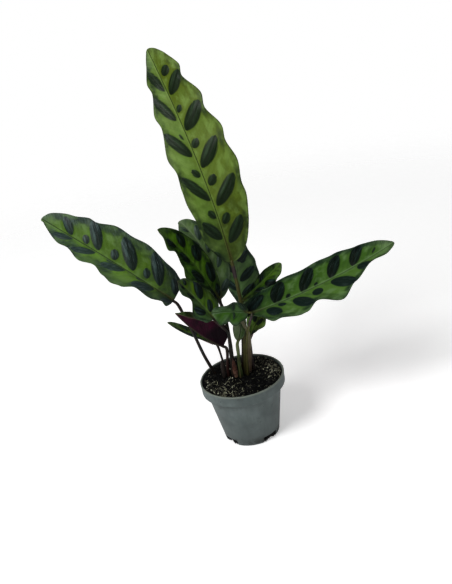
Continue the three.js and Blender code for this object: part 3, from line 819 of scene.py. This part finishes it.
# body is an underside's colour, light its paler and dark its darker patches, and rim_tone its
# margin. fall is how far up, as a share of the length, the dark foot runs, and how dark it is.
UNDERS = {
    # a darker copy of the purple underside, as painted shade, for the underside that lies in shade
    "shade_painted_purple": dict(
        body=(38, 5, 26), light=(70, 16, 46), rib=(66, 64, 50), dark=(13, 1, 10),
        rim_tone=(88, 86, 62), fall=(0.6, 0.9), shine=0.1,
    ),
    "purple": dict(
        body=(104, 34, 66), light=(138, 62, 94), rib=(118, 104, 74), dark=(62, 16, 38),
        rim_tone=(96, 92, 62), fall=(0.5, 0.7), shine=0.25,
    ),
    "sage": dict(
        body=(76, 90, 62), light=(98, 110, 84), rib=(110, 116, 90), dark=(52, 66, 42),
        rim_tone=(104, 108, 80), fall=(0.6, 0.9), shine=0.1,
    ),
}
UNDER_KINDS = {"low_left": "shade_painted_purple", "young": "sage"}


def under_material(name, body, light, rib, dark, rim_tone, fall, shine):
    g = Graph(name)
    _, y, lateral = g.field("leaf")
    marking, rim, s = g.field("field")
    place = g.place()
    streaks = g.weave(lateral * 0.9, y * 0.07, 0, 4)
    swell = g.weave(lateral * 0.22, y * 0.14, 3, 3)
    patches = g.noise(place, 75, 4)
    veins = side_veins(lateral)
    tone = swell.ramp(0.36, 0.66, 0, 0.5) + patches.ramp(0.36, 0.66, -0.1, 0.6)
    depth = s + patches.ramp(0.35, 0.65, -0.12, 0.12)
    color = g.layers(
        body, (tone.clamped(), light), (streaks.ramp(0.42, 0.72, 0, 0.3), dark),
        (depth.ramp(0.05, *fall, 0), dark), (marking.ramp(-0.8, 0.8, 0.35, 0), dark),
        (veins.ramp(0, 0.3, 0.1, 0), rib), (abs(y).ramp(0.3, 1, 0.8, 0), rib),
        (rim.ramp(0.1, 0.8, 0.6, 0), rim_tone),
    )
    normal = g.bump(g.noise(place, 900, 2), 0.02, g.bump(veins * -0.4 + swell * 6, 0.12))
    return g.finish(color, patches.ramp(0.3, 0.7, 0.4, 0.52), normal, shine)


def add_leaves():
    faces = {kind: face_material(f"leaf_face_{kind}", **look) for kind, look in FACES.items()}
    unders = {kind: under_material(f"leaf_under_{kind}", **look) for kind, look in UNDERS.items()}
    for leaf in LEAVES:
        name = leaf.name
        pair = [faces[leaf.kind], unders[UNDER_KINDS.get(name, "purple")]]
        step = 0.7 if leaf.length > 100 else 0.55
        add_blade(leaf, pair, f"blade_{name}", f"leaf_blade_{name}", step)


# ---- Stalks -------------------------------------------------------------------------------

STEM_DEPTH = 7  # how far a stalk runs down into the soil
SHEATH_LENGTH, SHEATH_SHARE = 30, 0.45  # at most, and of what stands above the soil
JOINT_LENGTH, JOINT_SHARE = 13, 0.25
JOINT_SWELL, WAIST = 0.16, 0.06
SHEATH_WIDTH, SHEATH_SEAM, RIBS = 0.22, 0.16, 0.02  # what they add, as shares of the radius
SEAM_ANGLE = 0.6
STALK_SIDES = 18
STEMS = {
    "olive": dict(low=(62, 60, 26), high=(78, 78, 34), joint=(62, 50, 56), stain=(44, 24, 18)),
    "dark": dict(low=(56, 26, 22), high=(30, 32, 26), joint=(48, 40, 34), stain=(28, 12, 14)),
    "slate": dict(low=(30, 24, 22), high=(26, 30, 26), joint=(50, 40, 34), stain=(60, 36, 28)),
    "rosy": dict(low=(96, 78, 66), high=(104, 102, 74), joint=(110, 108, 82), stain=(60, 34, 26)),
    "green": dict(low=(40, 56, 22), high=(92, 102, 60), joint=(96, 106, 72), stain=(36, 22, 20)),
    "maroon": dict(low=(40, 16, 20), high=(70, 66, 44), joint=(84, 84, 58), stain=(22, 8, 14)),
}


def catmull_rom(knots, spacing):
    """Evenly spaced points of the centripetal curve through the knots."""
    knots = np.asarray(knots, float)
    padded = np.vstack([2 * knots[0] - knots[1], knots, 2 * knots[-1] - knots[-2]])

    def between(a, b, start, end, t):
        return ((end - t) * a + (t - start) * b) / (end - start)

    fine = []
    for p0, p1, p2, p3 in zip(padded[:-3], padded[1:-2], padded[2:-1], padded[3:]):
        gaps = [np.linalg.norm(b - a) ** 0.5 for a, b in ((p0, p1), (p1, p2), (p2, p3))]
        t1, t2, t3 = np.cumsum(gaps)
        t = np.linspace(t1, t2, 40, endpoint=False)[:, None]
        a1, a2 = between(p0, p1, 0, t1, t), between(p1, p2, t1, t2, t)
        b1 = between(a1, a2, 0, t2, t)
        b2 = between(a2, between(p2, p3, t2, t3, t), t1, t3, t)
        fine.append(between(b1, b2, t1, t2, t))
    fine = np.vstack([*fine, knots[-1:]])
    gone = np.concatenate([[0], np.cumsum(np.linalg.norm(np.diff(fine, axis=0), axis=1))])
    count = max(8, math.ceil(gone[-1] / spacing))
    at = np.linspace(0, gone[-1], count + 1)
    return np.stack([np.interp(at, gone, fine[:, axis]) for axis in range(3)], 1), at


def add_stalk(leaf, material):
    """A leaf stalk: a flattened sheath at its foot, a slim petiole and a swollen joint."""
    _, _, along, _, up = midrib(leaf, 40)
    end = np.array(leaf.base, float) - CLEARANCE * along[0] - leaf.rib[0] / 2 * up[0]
    shown = [np.array(point, float) for point in leaf.stalk]
    dip = shown[0] - shown[1]
    buried = shown[0] + dip / np.linalg.norm(dip) * STEM_DEPTH
    approach, tuck = end - 2.5 * along[0], end + 1.8 * along[0] - 0.1 * up[0]
    line, gone = catmull_rom([buried, *shown, approach, end, tuck], 0.8)
    total = gone[-1]
    left_over = total - gone
    tall = gone - STEM_DEPTH

    sheath_length = min(SHEATH_LENGTH, SHEATH_SHARE * (total - STEM_DEPTH))
    sheath = np.clip(1 - tall / sheath_length, 0, 1) ** 0.8
    joint_length = min(JOINT_LENGTH, JOINT_SHARE * total)
    joint = np.exp(-(((left_over - 0.55 * joint_length - 2) / (0.42 * joint_length)) ** 2))
    waist = np.exp(-(((left_over - joint_length - 3) / 2) ** 2))
    radius = lerp(leaf.radius, gone / total) * (1 + JOINT_SWELL * joint - WAIST * waist)
    radius = radius * np.clip(0.45 + left_over / 2.6, 0, 1)

    angles = around(STALK_SIDES)
    seam = np.exp(-(((angles - SEAM_ANGLE) / 0.35) ** 2))
    sleeve = SHEATH_WIDTH * np.cos(angles) ** 2 + SHEATH_SEAM * seam
    spread = radius[:, None] * (1 + sheath[:, None] * sleeve + RIBS * np.cos(6 * angles))
    aim = 3 * leaf.length  # a different way round for every leaf
    hint = (math.cos(aim), math.sin(aim), 0.1)
    points = tube_points(line, hint, spread * np.cos(angles), spread * np.sin(angles))
    grid = np.ones(spread.shape)
    tall, sheath, joint = (grid * values[:, None] for values in (tall, sheath, joint))
    fields = {
        "stem": np.stack([tall, grid * angles / TURN, grid], -1).reshape(-1, 3),
        "sleeve": np.stack([sheath, joint, grid], -1).reshape(-1, 3),
    }
    faces = tube_faces(len(line), STALK_SIDES)
    name = f"stalk_{leaf.name}"
    piece = make_piece(name, points.reshape(-1, 3), faces, [material], None, fields)
    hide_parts(f"leaf_stalk_{leaf.name}")


def stem_material(name, low, high, joint, stain):
    g = Graph(name)
    tall, turn, _ = g.field("stem")
    sheath, swelling, _ = g.field("sleeve")
    place = g.place()
    fibres = g.fibres(place, 0.12, 1500)
    blotches = g.noise(place, 160)
    seam = abs(turn - 0.14).ramp(0.01, 0.035, 1, 0) * sheath
    color = g.layers(
        low, (tall.ramp(5, 45), high), (blotches.ramp(0.46, 0.66) * 0.6, stain),
        (fibres.ramp(0.4, 0.7) * 0.3, [min(255, 1.35 * value) for value in high]),
        (swelling.ramp(0.25, 0.7, 0, 0.9), joint), (seam * 0.8, (120, 104, 78)),
        ((tall + blotches * 6).ramp(1, 6, 0.85, 0), (38, 24, 18)),
    )
    return g.finish(color, blotches.ramp(0.35, 0.65, 0.42, 0.62), g.bump(fibres, 0.05), 0.4)


def add_stalks():
    materials = {kind: stem_material(f"stem_{kind}", **look) for kind, look in STEMS.items()}
    for leaf in LEAVES:
        add_stalk(leaf, materials[leaf.stem])


# top and foot are a dry sheath's colours, and bare the thin pale parts of it.
SHEATH_LOOKS = {
    "front": dict(top=(74, 38, 26), foot=(124, 100, 82), bare=(92, 56, 40)),
    "left": dict(top=(34, 26, 22), foot=(30, 20, 18), bare=(50, 40, 30)),
    "right": dict(top=(34, 18, 20), foot=(40, 24, 22), bare=(58, 36, 32)),
}


def sheath_material(name, top, foot, bare):
    g = Graph(name)
    x, y, _ = g.field("leaf")
    s = g.field("field")[2]
    fibres = g.weave(y * 2.4, x * 0.12, 0, 4)
    patches = g.noise(g.place(), 320, 4)
    worn = (s + patches.ramp(0.35, 0.65, -0.2, 0.2)).ramp(0.05, 0.4, 0.9, 0)
    color = g.layers(
        top, (fibres.ramp(0.38, 0.62, 0, 0.8), bare),
        (patches.ramp(0.45, 0.62, 0, 0.75), (26, 14, 11)),
        (worn * fibres.ramp(0.4, 0.6, 0.3, 1), foot),
    )
    return g.finish(color, patches.ramp(0.3, 0.7, 0.55, 0.75), g.bump(fibres, 0.12))


def add_sheaths():
    for leaf in SHEATHS:
        name = f"sheath_{leaf.name}"
        material = sheath_material(f"dry_{name}", **SHEATH_LOOKS[leaf.name])
        add_blade(leaf, [material, material], f"dry_{name}", name, 0.4)


# ---- Pot ----------------------------------------------------------------------------------

POT = SimpleNamespace(
    height=51, foot=21.6, shoulder=28.9, band=8.8, band_radius=32.2, rim=32.5, wall=1.4, floor=1.8,
    bevel=0.6, hollow=0.5, hollow_radius=9.5,
)
BAND_FOOT = POT.height - POT.band
SLOTS = SimpleNamespace(count=4, first=-54, width=13, height=5, reach=4.5, corner=1.1)
SLOT_ANGLES = [
    math.radians(SLOTS.first + 360 / SLOTS.count * number) for number in range(SLOTS.count)
]
SHARP_PLASTIC = 38
POT_SIDES = 216
ROUNDING = 0.3  # radius of the pot's corners


def inner_radius(z):
    """The inside of the pot's body."""
    return POT.foot + (POT.shoulder - POT.foot) / BAND_FOOT * z - POT.wall


def lathe(profile, sides, shape):
    """A closed solid of revolution. The profile runs from the axis, below, round to the axis, and
    shape changes the radius and the height of its other points, given their angles."""
    profile = np.asarray(profile, float)
    angles = around(sides)
    radius, height = (np.repeat(profile[1:-1, i:i + 1], sides, 1) for i in (0, 1))
    radius, height = shape(radius, height, angles)
    points = np.stack([radius * np.cos(angles), radius * np.sin(angles), height], -1)
    points = [*points.reshape(-1, 3), (0, 0, profile[0, 1]), (0, 0, profile[-1, 1])]
    bottom, top = len(points) - 2, len(points) - 1
    last = bottom - sides
    faces = ring_faces(len(profile) - 2, sides)
    for side in range(sides):
        following = (side + 1) % sides
        faces.append((bottom, following, side))
        faces.append((top, last + side, last + following))
    return np.array(points), faces


def rounded(profile, radius, steps=4):
    """The profile with its inner corners rounded off."""
    done = [profile[0]]
    for before, corner, after in zip(profile[:-2], profile[1:-1], profile[2:]):
        before, corner, after = (np.array(p, float) for p in (before, corner, after))
        into, out = before - corner, after - corner
        room = min(radius, np.linalg.norm(into) / 2.2, np.linalg.norm(out) / 2.2)
        a = corner + into / np.linalg.norm(into) * room
        b = corner + out / np.linalg.norm(out) * room
        for t in np.linspace(0, 1, steps):
            done.append(tuple((1 - t) ** 2 * a + 2 * t * (1 - t) * corner + t**2 * b))
    return [*done, profile[-1]]


def subdivided(profile, longest):
    """The profile with more points, so that none lies further than longest from the next."""
    done = [profile[0]]
    for a, b in zip(np.array(profile[:-1]), np.array(profile[1:])):
        parts = max(1, math.ceil(np.hypot(*(b - a)) / longest))
        done += [tuple(a + (b - a) * k / parts) for k in range(1, parts + 1)]
    return done


def pot_material():
    g = Graph("recycled_plastic")
    place = g.place()
    height = g.split(place)[2] * (1 / MM)
    cloud = g.noise(place, 55, 4)
    streaks = g.fibres(place, 0.15, 260)
    specks = g.cells(place, 420).math("LESS_THAN", g.noise(place, 210, 2).ramp(0.5, 0.8, 0, 0.26))
    flecks = g.cells(place, 300).math("LESS_THAN", g.noise(place, 150, 2).ramp(0.52, 0.8, 0, 0.22))
    grime = g.noise(place, 130, 5, 0.7)
    under_band = height.ramp(BAND_FOOT - 2.2, BAND_FOOT - 0.2)
    under_band = under_band * height.ramp(BAND_FOOT + 0.2, BAND_FOOT + 0.6, 1, 0)
    dirt = grime.ramp(0.42, 0.62) * height.ramp(1, 10, 1, 0).larger(under_band)
    dirt = dirt.larger(grime.ramp(0.58, 0.7) * 0.35)
    # the lip's top edge paler: pale soil grit on it and a painted highlight along it
    lip = height.ramp(POT.height - 1.5, POT.height - 0.2, 0, 0.6)
    color = g.layers(
        (88, 98, 97), (cloud.ramp(0.34, 0.66), (111, 121, 120)),
        (streaks.ramp(0.42, 0.7) * 0.35, (88, 96, 94)), (specks * 0.75, (52, 54, 50)),
        (flecks * 0.5, (122, 128, 122)), (height.ramp(0, 45, 0.5, 0), (66, 72, 72)),
        (dirt * 0.7, (38, 36, 31)), (lip, (140, 146, 134)),
    )
    roughness = cloud.ramp(0.3, 0.7, 0.5, 0.62) + dirt * 0.2
    normal = g.bump(streaks, 0.05, g.bump(g.noise(place, 1600, 2), 0.03))
    return g.finish(color, roughness, normal, 0.4)


def add_pot():
    height, foot, band, rim = POT.height, POT.foot, POT.band_radius, POT.rim
    wall, floor, bevel = POT.wall, POT.floor, POT.bevel
    profile = [
        (0, POT.hollow), (POT.hollow_radius, POT.hollow), (POT.hollow_radius + 1, 0),
        (foot - bevel, 0), (foot, bevel),
        (POT.shoulder, BAND_FOOT), (band - 0.45, BAND_FOOT), (band, BAND_FOOT + 0.5),
        (rim - 0.25, height - 1.5), (rim, height - 1.1), (rim - 0.05, height - 0.35),
        (rim - 0.5, height), (rim - wall + 0.3, height), (rim - wall, height - 0.5),
        (band - wall, BAND_FOOT + wall), (inner_radius(BAND_FOOT), BAND_FOOT + wall),
        (inner_radius(floor), floor), (0, floor),
    ]

    def warp(radius, z, angles):
        """A soft moulding is not quite round, and its lip has small nicks."""
        sway = 0.12 * np.sin(2 * angles + 0.6) + 0.06 * np.sin(5 * angles + 2 + z * 0.04)
        nick = 0.05 * np.sin(23 * angles + z) * (z > height - 1)
        return radius + sway * (z / height) + nick, z

    points, faces = lathe(subdivided(rounded(profile, ROUNDING), 3.5), POT_SIDES, warp)
    material = pot_material()
    pot = make_piece("nursery_pot", points, faces, [material], sharp=SHARP_PLASTIC)
    cutters = [slot_cutter(angle) for angle in SLOT_ANGLES]
    for cutter in cutters:
        cut = pot.modifiers.new("slot", "BOOLEAN")
        cut.operation, cut.object, cut.solver = "DIFFERENCE", cutter, "EXACT"
    depsgraph = bpy.context.evaluated_depsgraph_get()
    cut_mesh = bpy.data.meshes.new_from_object(pot.evaluated_get(depsgraph))
    pot.modifiers.clear()
    pot.data = cut_mesh
    for cutter in cutters:
        bpy.data.objects.remove(cutter)
    smooth(pot.data, SHARP_PLASTIC)
    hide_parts("pot")


def slot_cutter(angle):
    """A block with rounded upper corners, cut through the corner of floor and wall."""
    half, top, corner = SLOTS.width / 2, SLOTS.height, SLOTS.corner
    section = [(-half, -2), (half, -2)]
    for first, centre in ((0, half - corner), (90, corner - half)):
        for step in range(5):
            turn = math.radians(first + 22.5 * step)
            section.append((centre + corner * math.cos(turn), top - corner + corner * math.sin(turn)))
    near, far = POT.foot - SLOTS.reach, POT.foot + 3
    points = [(x, y, z) for x in (near, far) for y, z in section]
    cutter = add_object("cutter", new_mesh("cutter", points, tube_faces(2, len(section))))
    cutter.matrix_world = Matrix.Rotation(angle, 4, "Z")
    return cutter


# ---- Soil ---------------------------------------------------------------------------------

SOIL = SimpleNamespace(edge=49.4, crown=52)
SOIL_RADIUS = POT.band_radius - POT.wall - CLEARANCE
SOIL_SHELF = BAND_FOOT + POT.wall + CLEARANCE
SOIL_RINGS, SOIL_SIDES = 84, 320
PLUG_GRAINS = 110


def soil_height(x, y):
    """Height of the soil's top, rough at every size."""
    def wave(frequency, level):
        return noise.noise(Vector((x, y, level)) * frequency)

    share = min(1.0, math.hypot(x, y) / SOIL_RADIUS)
    mound = lerp((SOIL.crown, SOIL.edge), share**1.6)
    rough = 0.9 * wave(0.11, 3.1) + 0.65 * wave(0.33, 9.7) + 0.55 * wave(0.95, 1.9)
    rough += 0.5 * abs(wave(1.9, 5.3))
    return mound + rough * (1 - 0.35 * share)


def soil_material():
    g = Graph("peat")
    place = g.place()
    lumps = g.noise(place, 380, 5, 0.65)
    grains = g.cells(place, 900)
    flecks = g.noise(place, 1300, 1).math("GREATER_THAN", 0.68)
    color = g.layers(
        (1, 2, 2), (lumps.ramp(0.4, 0.75), (9, 10, 9)),
        (grains.ramp(0.1, 0.5, 0.25, 0), (15, 15, 14)), (flecks * 0.35, (60, 58, 48)),
    )
    roughness = g.noise(place, 90).ramp(0.35, 0.65, 0.62, 0.92)
    return g.finish(color, roughness, g.bump(grains, 0.12, g.bump(lumps, 0.5)), 0.15)


def add_soil(material):
    """A plug that stands clear of the pot's wall, with a rough top."""
    floor = POT.floor + CLEARANCE
    walls = [
        (inner_radius(POT.floor) - CLEARANCE, floor),
        (inner_radius(BAND_FOOT) - CLEARANCE, SOIL_SHELF), (SOIL_RADIUS, SOIL_SHELF),
        (SOIL_RADIUS, SOIL.edge - 1.4),
    ]
    top = [(SOIL_RADIUS * share, 0) for share in np.linspace(1, 0, SOIL_RINGS + 1)[:-1]]

    def settle(radius, z, angles):
        r = radius[len(walls):]
        z[len(walls):] = np.vectorize(soil_height)(r * np.cos(angles), r * np.sin(angles))
        return radius, z

    profile = [(0, floor), *walls, *top, (0, soil_height(0, 0))]
    points, faces = lathe(profile, SOIL_SIDES, settle)
    soil = make_piece("potting_soil", points, faces, [material])
    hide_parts("soil")


def icosphere():
    """A ball of 80 triangles: an icosahedron with every face cut into four."""
    gold = (1 + 5**0.5) / 2
    corners = [(a, b * gold) for b in (1, -1) for a in (-1, 1)]
    points = [(a, b, 0) for a, b in corners]
    points += [(0, a, b) for a, b in corners]
    points += [(b, 0, a) for a, b in corners]
    points = [np.array(p) / np.linalg.norm(p) for p in points]
    faces = [
        (0, 11, 5), (0, 5, 1), (0, 1, 7), (0, 7, 10), (0, 10, 11), (1, 5, 9), (5, 11, 4),
        (11, 10, 2), (10, 7, 6), (7, 1, 8), (3, 9, 4), (3, 4, 2), (3, 2, 6), (3, 6, 8), (3, 8, 9),
        (4, 9, 5), (2, 4, 11), (6, 2, 10), (8, 6, 7), (9, 8, 1),
    ]
    halves, finer = {}, []

    def half(a, b):
        key = (min(a, b), max(a, b))
        if key not in halves:
            middle = points[a] + points[b]
            points.append(middle / np.linalg.norm(middle))
            halves[key] = len(points) - 1
        return halves[key]

    for a, b, c in faces:
        ab, bc, ca = half(a, b), half(b, c), half(c, a)
        finer += [(a, ab, ca), (b, bc, ab), (c, ca, bc), (ab, bc, ca)]
    return np.array(points), np.array(finer)


BALL_POINTS, BALL_FACES = icosphere()


def rough_ball(size, roughness):
    """A ball with its points knocked in and out."""
    bumps = 1 + roughness * RNG.normal(size=len(BALL_POINTS)).clip(-1.4, 1.4)
    return BALL_POINTS * bumps[:, None] * size / 2


def make_grains(name, grains, material):
    """One piece from grains that each have a ball's points."""
    faces = [BALL_FACES + len(BALL_POINTS) * number for number in range(len(grains))]
    faces = np.vstack(faces).tolist()
    make_piece(name, np.vstack(grains), faces, [material], sharp=50)


def spot_on_soil(rim_share, bias=None):
    """A random place on the soil; rim_share of them lie near the pot's edge, and bias is how
    likely a place is to be kept, by its angle."""
    while True:
        near_rim = RNG.random() < rim_share
        radius = (SOIL_RADIUS - 0.8) * (RNG.uniform(0.72, 1) if near_rim else math.sqrt(RNG.random()))
        angle = RNG.uniform(-math.pi, math.pi)
        if bias and RNG.random() > bias(angle):
            continue
        return radius * math.cos(angle), radius * math.sin(angle)


def add_crumbs(name, count, sizes, flat, material, rim_share, sink, bias=None):
    """Irregular grains half sunk in the soil, as one piece."""
    grains = []
    for _ in range(count):
        x, y = spot_on_soil(rim_share, bias)
        size = RNG.uniform(*sizes)
        stretch = RNG.uniform(0.6, 1.25, 3) * (1, 1, flat)
        grain = rough_ball(size, 0.22) * stretch
        turn = np.array(Quaternion(RNG.normal(size=4)).normalized().to_matrix())
        grains.append(grain @ turn.T + (x, y, soil_height(x, y) + size * sink))
    make_grains(name, grains, material)


def add_fibres(name, count, lengths, width, material, rim_share, bias=None):
    """Short curved strands lying on the soil, as one piece."""
    points, faces = [], []
    steps, sides = 7, 5
    shares = np.linspace(0, 1, steps)
    angles = around(sides)
    taper = 0.35 + 0.65 * np.sin(math.pi * np.linspace(0.08, 0.92, steps))
    room = SOIL_RADIUS - 0.5
    for _ in range(count):
        x, y = spot_on_soil(rim_share, bias)
        stride = RNG.uniform(*lengths) / (steps - 1)
        heading, turn = RNG.uniform(0, TURN), RNG.normal() * 0.9
        line = []
        for share in shares:
            h = heading + turn * share
            x, y = x + stride * math.cos(h), y + stride * math.sin(h)
            reach = math.hypot(x, y)
            if reach > room:
                x, y = x * room / reach, y * room / reach
            lift = 0.12 + 0.5 * math.sin(math.pi * share) * RNG.random()
            line.append((x, y, soil_height(x, y) + lift))
        line = np.array(line) + RNG.normal(size=(steps, 3)) * 0.02
        thick = width * RNG.uniform(0.6, 1.3) / 2 * taper[:, None]
        wide, high = thick * np.cos(angles) * 0.6, thick * np.sin(angles)
        faces += tube_faces(steps, sides, len(points) * steps * sides)
        points.append(tube_points(line, (0.1, 0.2, 1), wide, high).reshape(-1, 3))
    make_piece(name, np.vstack(points), faces, [material])


def grain_material(name, dark, light, rough):
    g = Graph(name)
    place = g.place()
    island = g.add("NewGeometry", {}, "Random Per Island")
    tone = island * 0.6 + g.noise(place, 900) * 0.5
    fine = g.noise(place, 2400, 2)
    roughness = fine.ramp(0.3, 0.7, rough - 0.08, rough + 0.06)
    return g.finish(g.mix(tone.ramp(0.2, 0.85), dark, light), roughness, g.bump(fine, 0.08))


def add_plugs(material):
    """Soil showing in the drainage slots."""
    for number, angle in enumerate(SLOT_ANGLES, 1):
        turn = np.array(Matrix.Rotation(angle, 3, "Z"))
        grains = []
        for _ in range(PLUG_GRAINS):
            out = POT.foot - RNG.uniform(1.1, 3.8)
            across = RNG.uniform(-0.46, 0.46) * SLOTS.width
            z = RNG.uniform(0.8, SLOTS.height - 0.5)
            size = RNG.uniform(1.2, 2.1)
            centre = (out, across, max(size * 0.6, z))
            grains.append((rough_ball(size, 0.2) + centre) @ turn.T)
        make_grains(f"slot_soil_{number}", grains, material)


def pale_side(angle):
    """More pale bits at the front left and on the right of the pot."""
    front_left = math.exp(-((angle + 2.3) / 0.5) ** 2)
    right = math.exp(-((angle - 0.25) / 0.6) ** 2)
    return 0.1 + 0.9 * max(front_left, right)


def add_ground():
    add_soil(soil_material())
    dark = grain_material("peat_crumb", (1, 2, 2), (13, 14, 13), 0.88)
    tan = grain_material("peat_fibre", (34, 34, 26), (172, 172, 146), 0.8)
    white = grain_material("perlite", (120, 122, 106), (196, 198, 176), 0.75)
    add_crumbs("soil_crumbs", 620, (0.6, 2.0), 0.8, dark, 0.3, 0.18)
    add_crumbs("soil_dust", 420, (0.3, 0.75), 0.8, tan, 0.55, 0.3, pale_side)
    add_crumbs("soil_perlite", 90, (0.6, 1.5), 0.7, white, 0.6, 0.3, pale_side)
    add_fibres("soil_fibres", 260, (1.6, 5.0), 0.42, tan, 0.5, pale_side)
    add_plugs(dark)


# ---- Stage --------------------------------------------------------------------------------


def add_floor():
    """A pale floor that runs out into the white backdrop."""
    g = Graph("floor")
    away = g.add("VectorMath", {0: g.place()}, "Value", operation="LENGTH")
    matt = g.add("BsdfDiffuse", {"Color": (0.85, 0.85, 0.85, 1)})
    lit = g.add("AddShader", {0: matt, 1: g.add("Emission", {"Strength": 0.42})})
    clear = g.add("BsdfTransparent")
    surface = g.add("MixShader", {0: away.ramp(0.35, 0.95), 1: lit, 2: clear})
    g.node("OutputMaterial", {"Surface": surface})
    half, z = 1500, -0.2
    corners = [(-half, -half, z), (half, -half, z), (half, half, z), (-half, half, z)]
    mesh = new_mesh("floor", corners, [(0, 1, 2, 3)])
    mesh.materials.append(g.owner)
    floor = add_object("floor", mesh)


def add_softbox(name, place, aim, size, power):
    """A round lamp that the camera does not see, in metres and watts."""
    data = bpy.data.lights.new(name, "AREA")
    data.shape, data.size, data.energy = "DISK", size, power
    lamp = add_object(name, data)
    lamp.location = place
    lamp.rotation_euler = (Vector(aim) - Vector(place)).to_track_quat("-Z", "Y").to_euler()
    lamp.visible_camera = False


def add_dome():
    """A dome that is brighter above, and plain white where the camera looks at it."""
    g = Graph("studio", "worlds")
    bpy.context.scene.world = g.owner
    height = g.split(g.add("TexCoord", {}, "Generated"))[2]
    white = (1, 1, 1, 1)
    dome = g.add("Background", {"Color": white, "Strength": height.ramp(-0.2, 0.9, 0.14, 0.36)})
    backdrop = g.add("Background", {"Color": white, "Strength": 1.0})
    seen = g.add("LightPath", {}, "Is Camera Ray")
    g.node("OutputWorld", {"Surface": g.add("MixShader", {0: seen, 1: dome, 2: backdrop})})


def add_stage():
    add_floor()
    add_softbox("key", (-0.85, -0.75, 1.35), (0, 0.03, 0.12), 0.8, 21)
    add_softbox("fill", (0.9, -1.1, 0.7), (0, 0, 0.12), 0.8, 1.5)
    add_dome()
    view = bpy.context.scene.view_settings
    view.view_transform = "Standard"
    view.look = "None"
    view.gamma = 0.8


# ---- Assembly -----------------------------------------------------------------------------

add_camera()
add_stage()
add_pot()
add_ground()
add_leaves()
add_stalks()
add_sheaths()
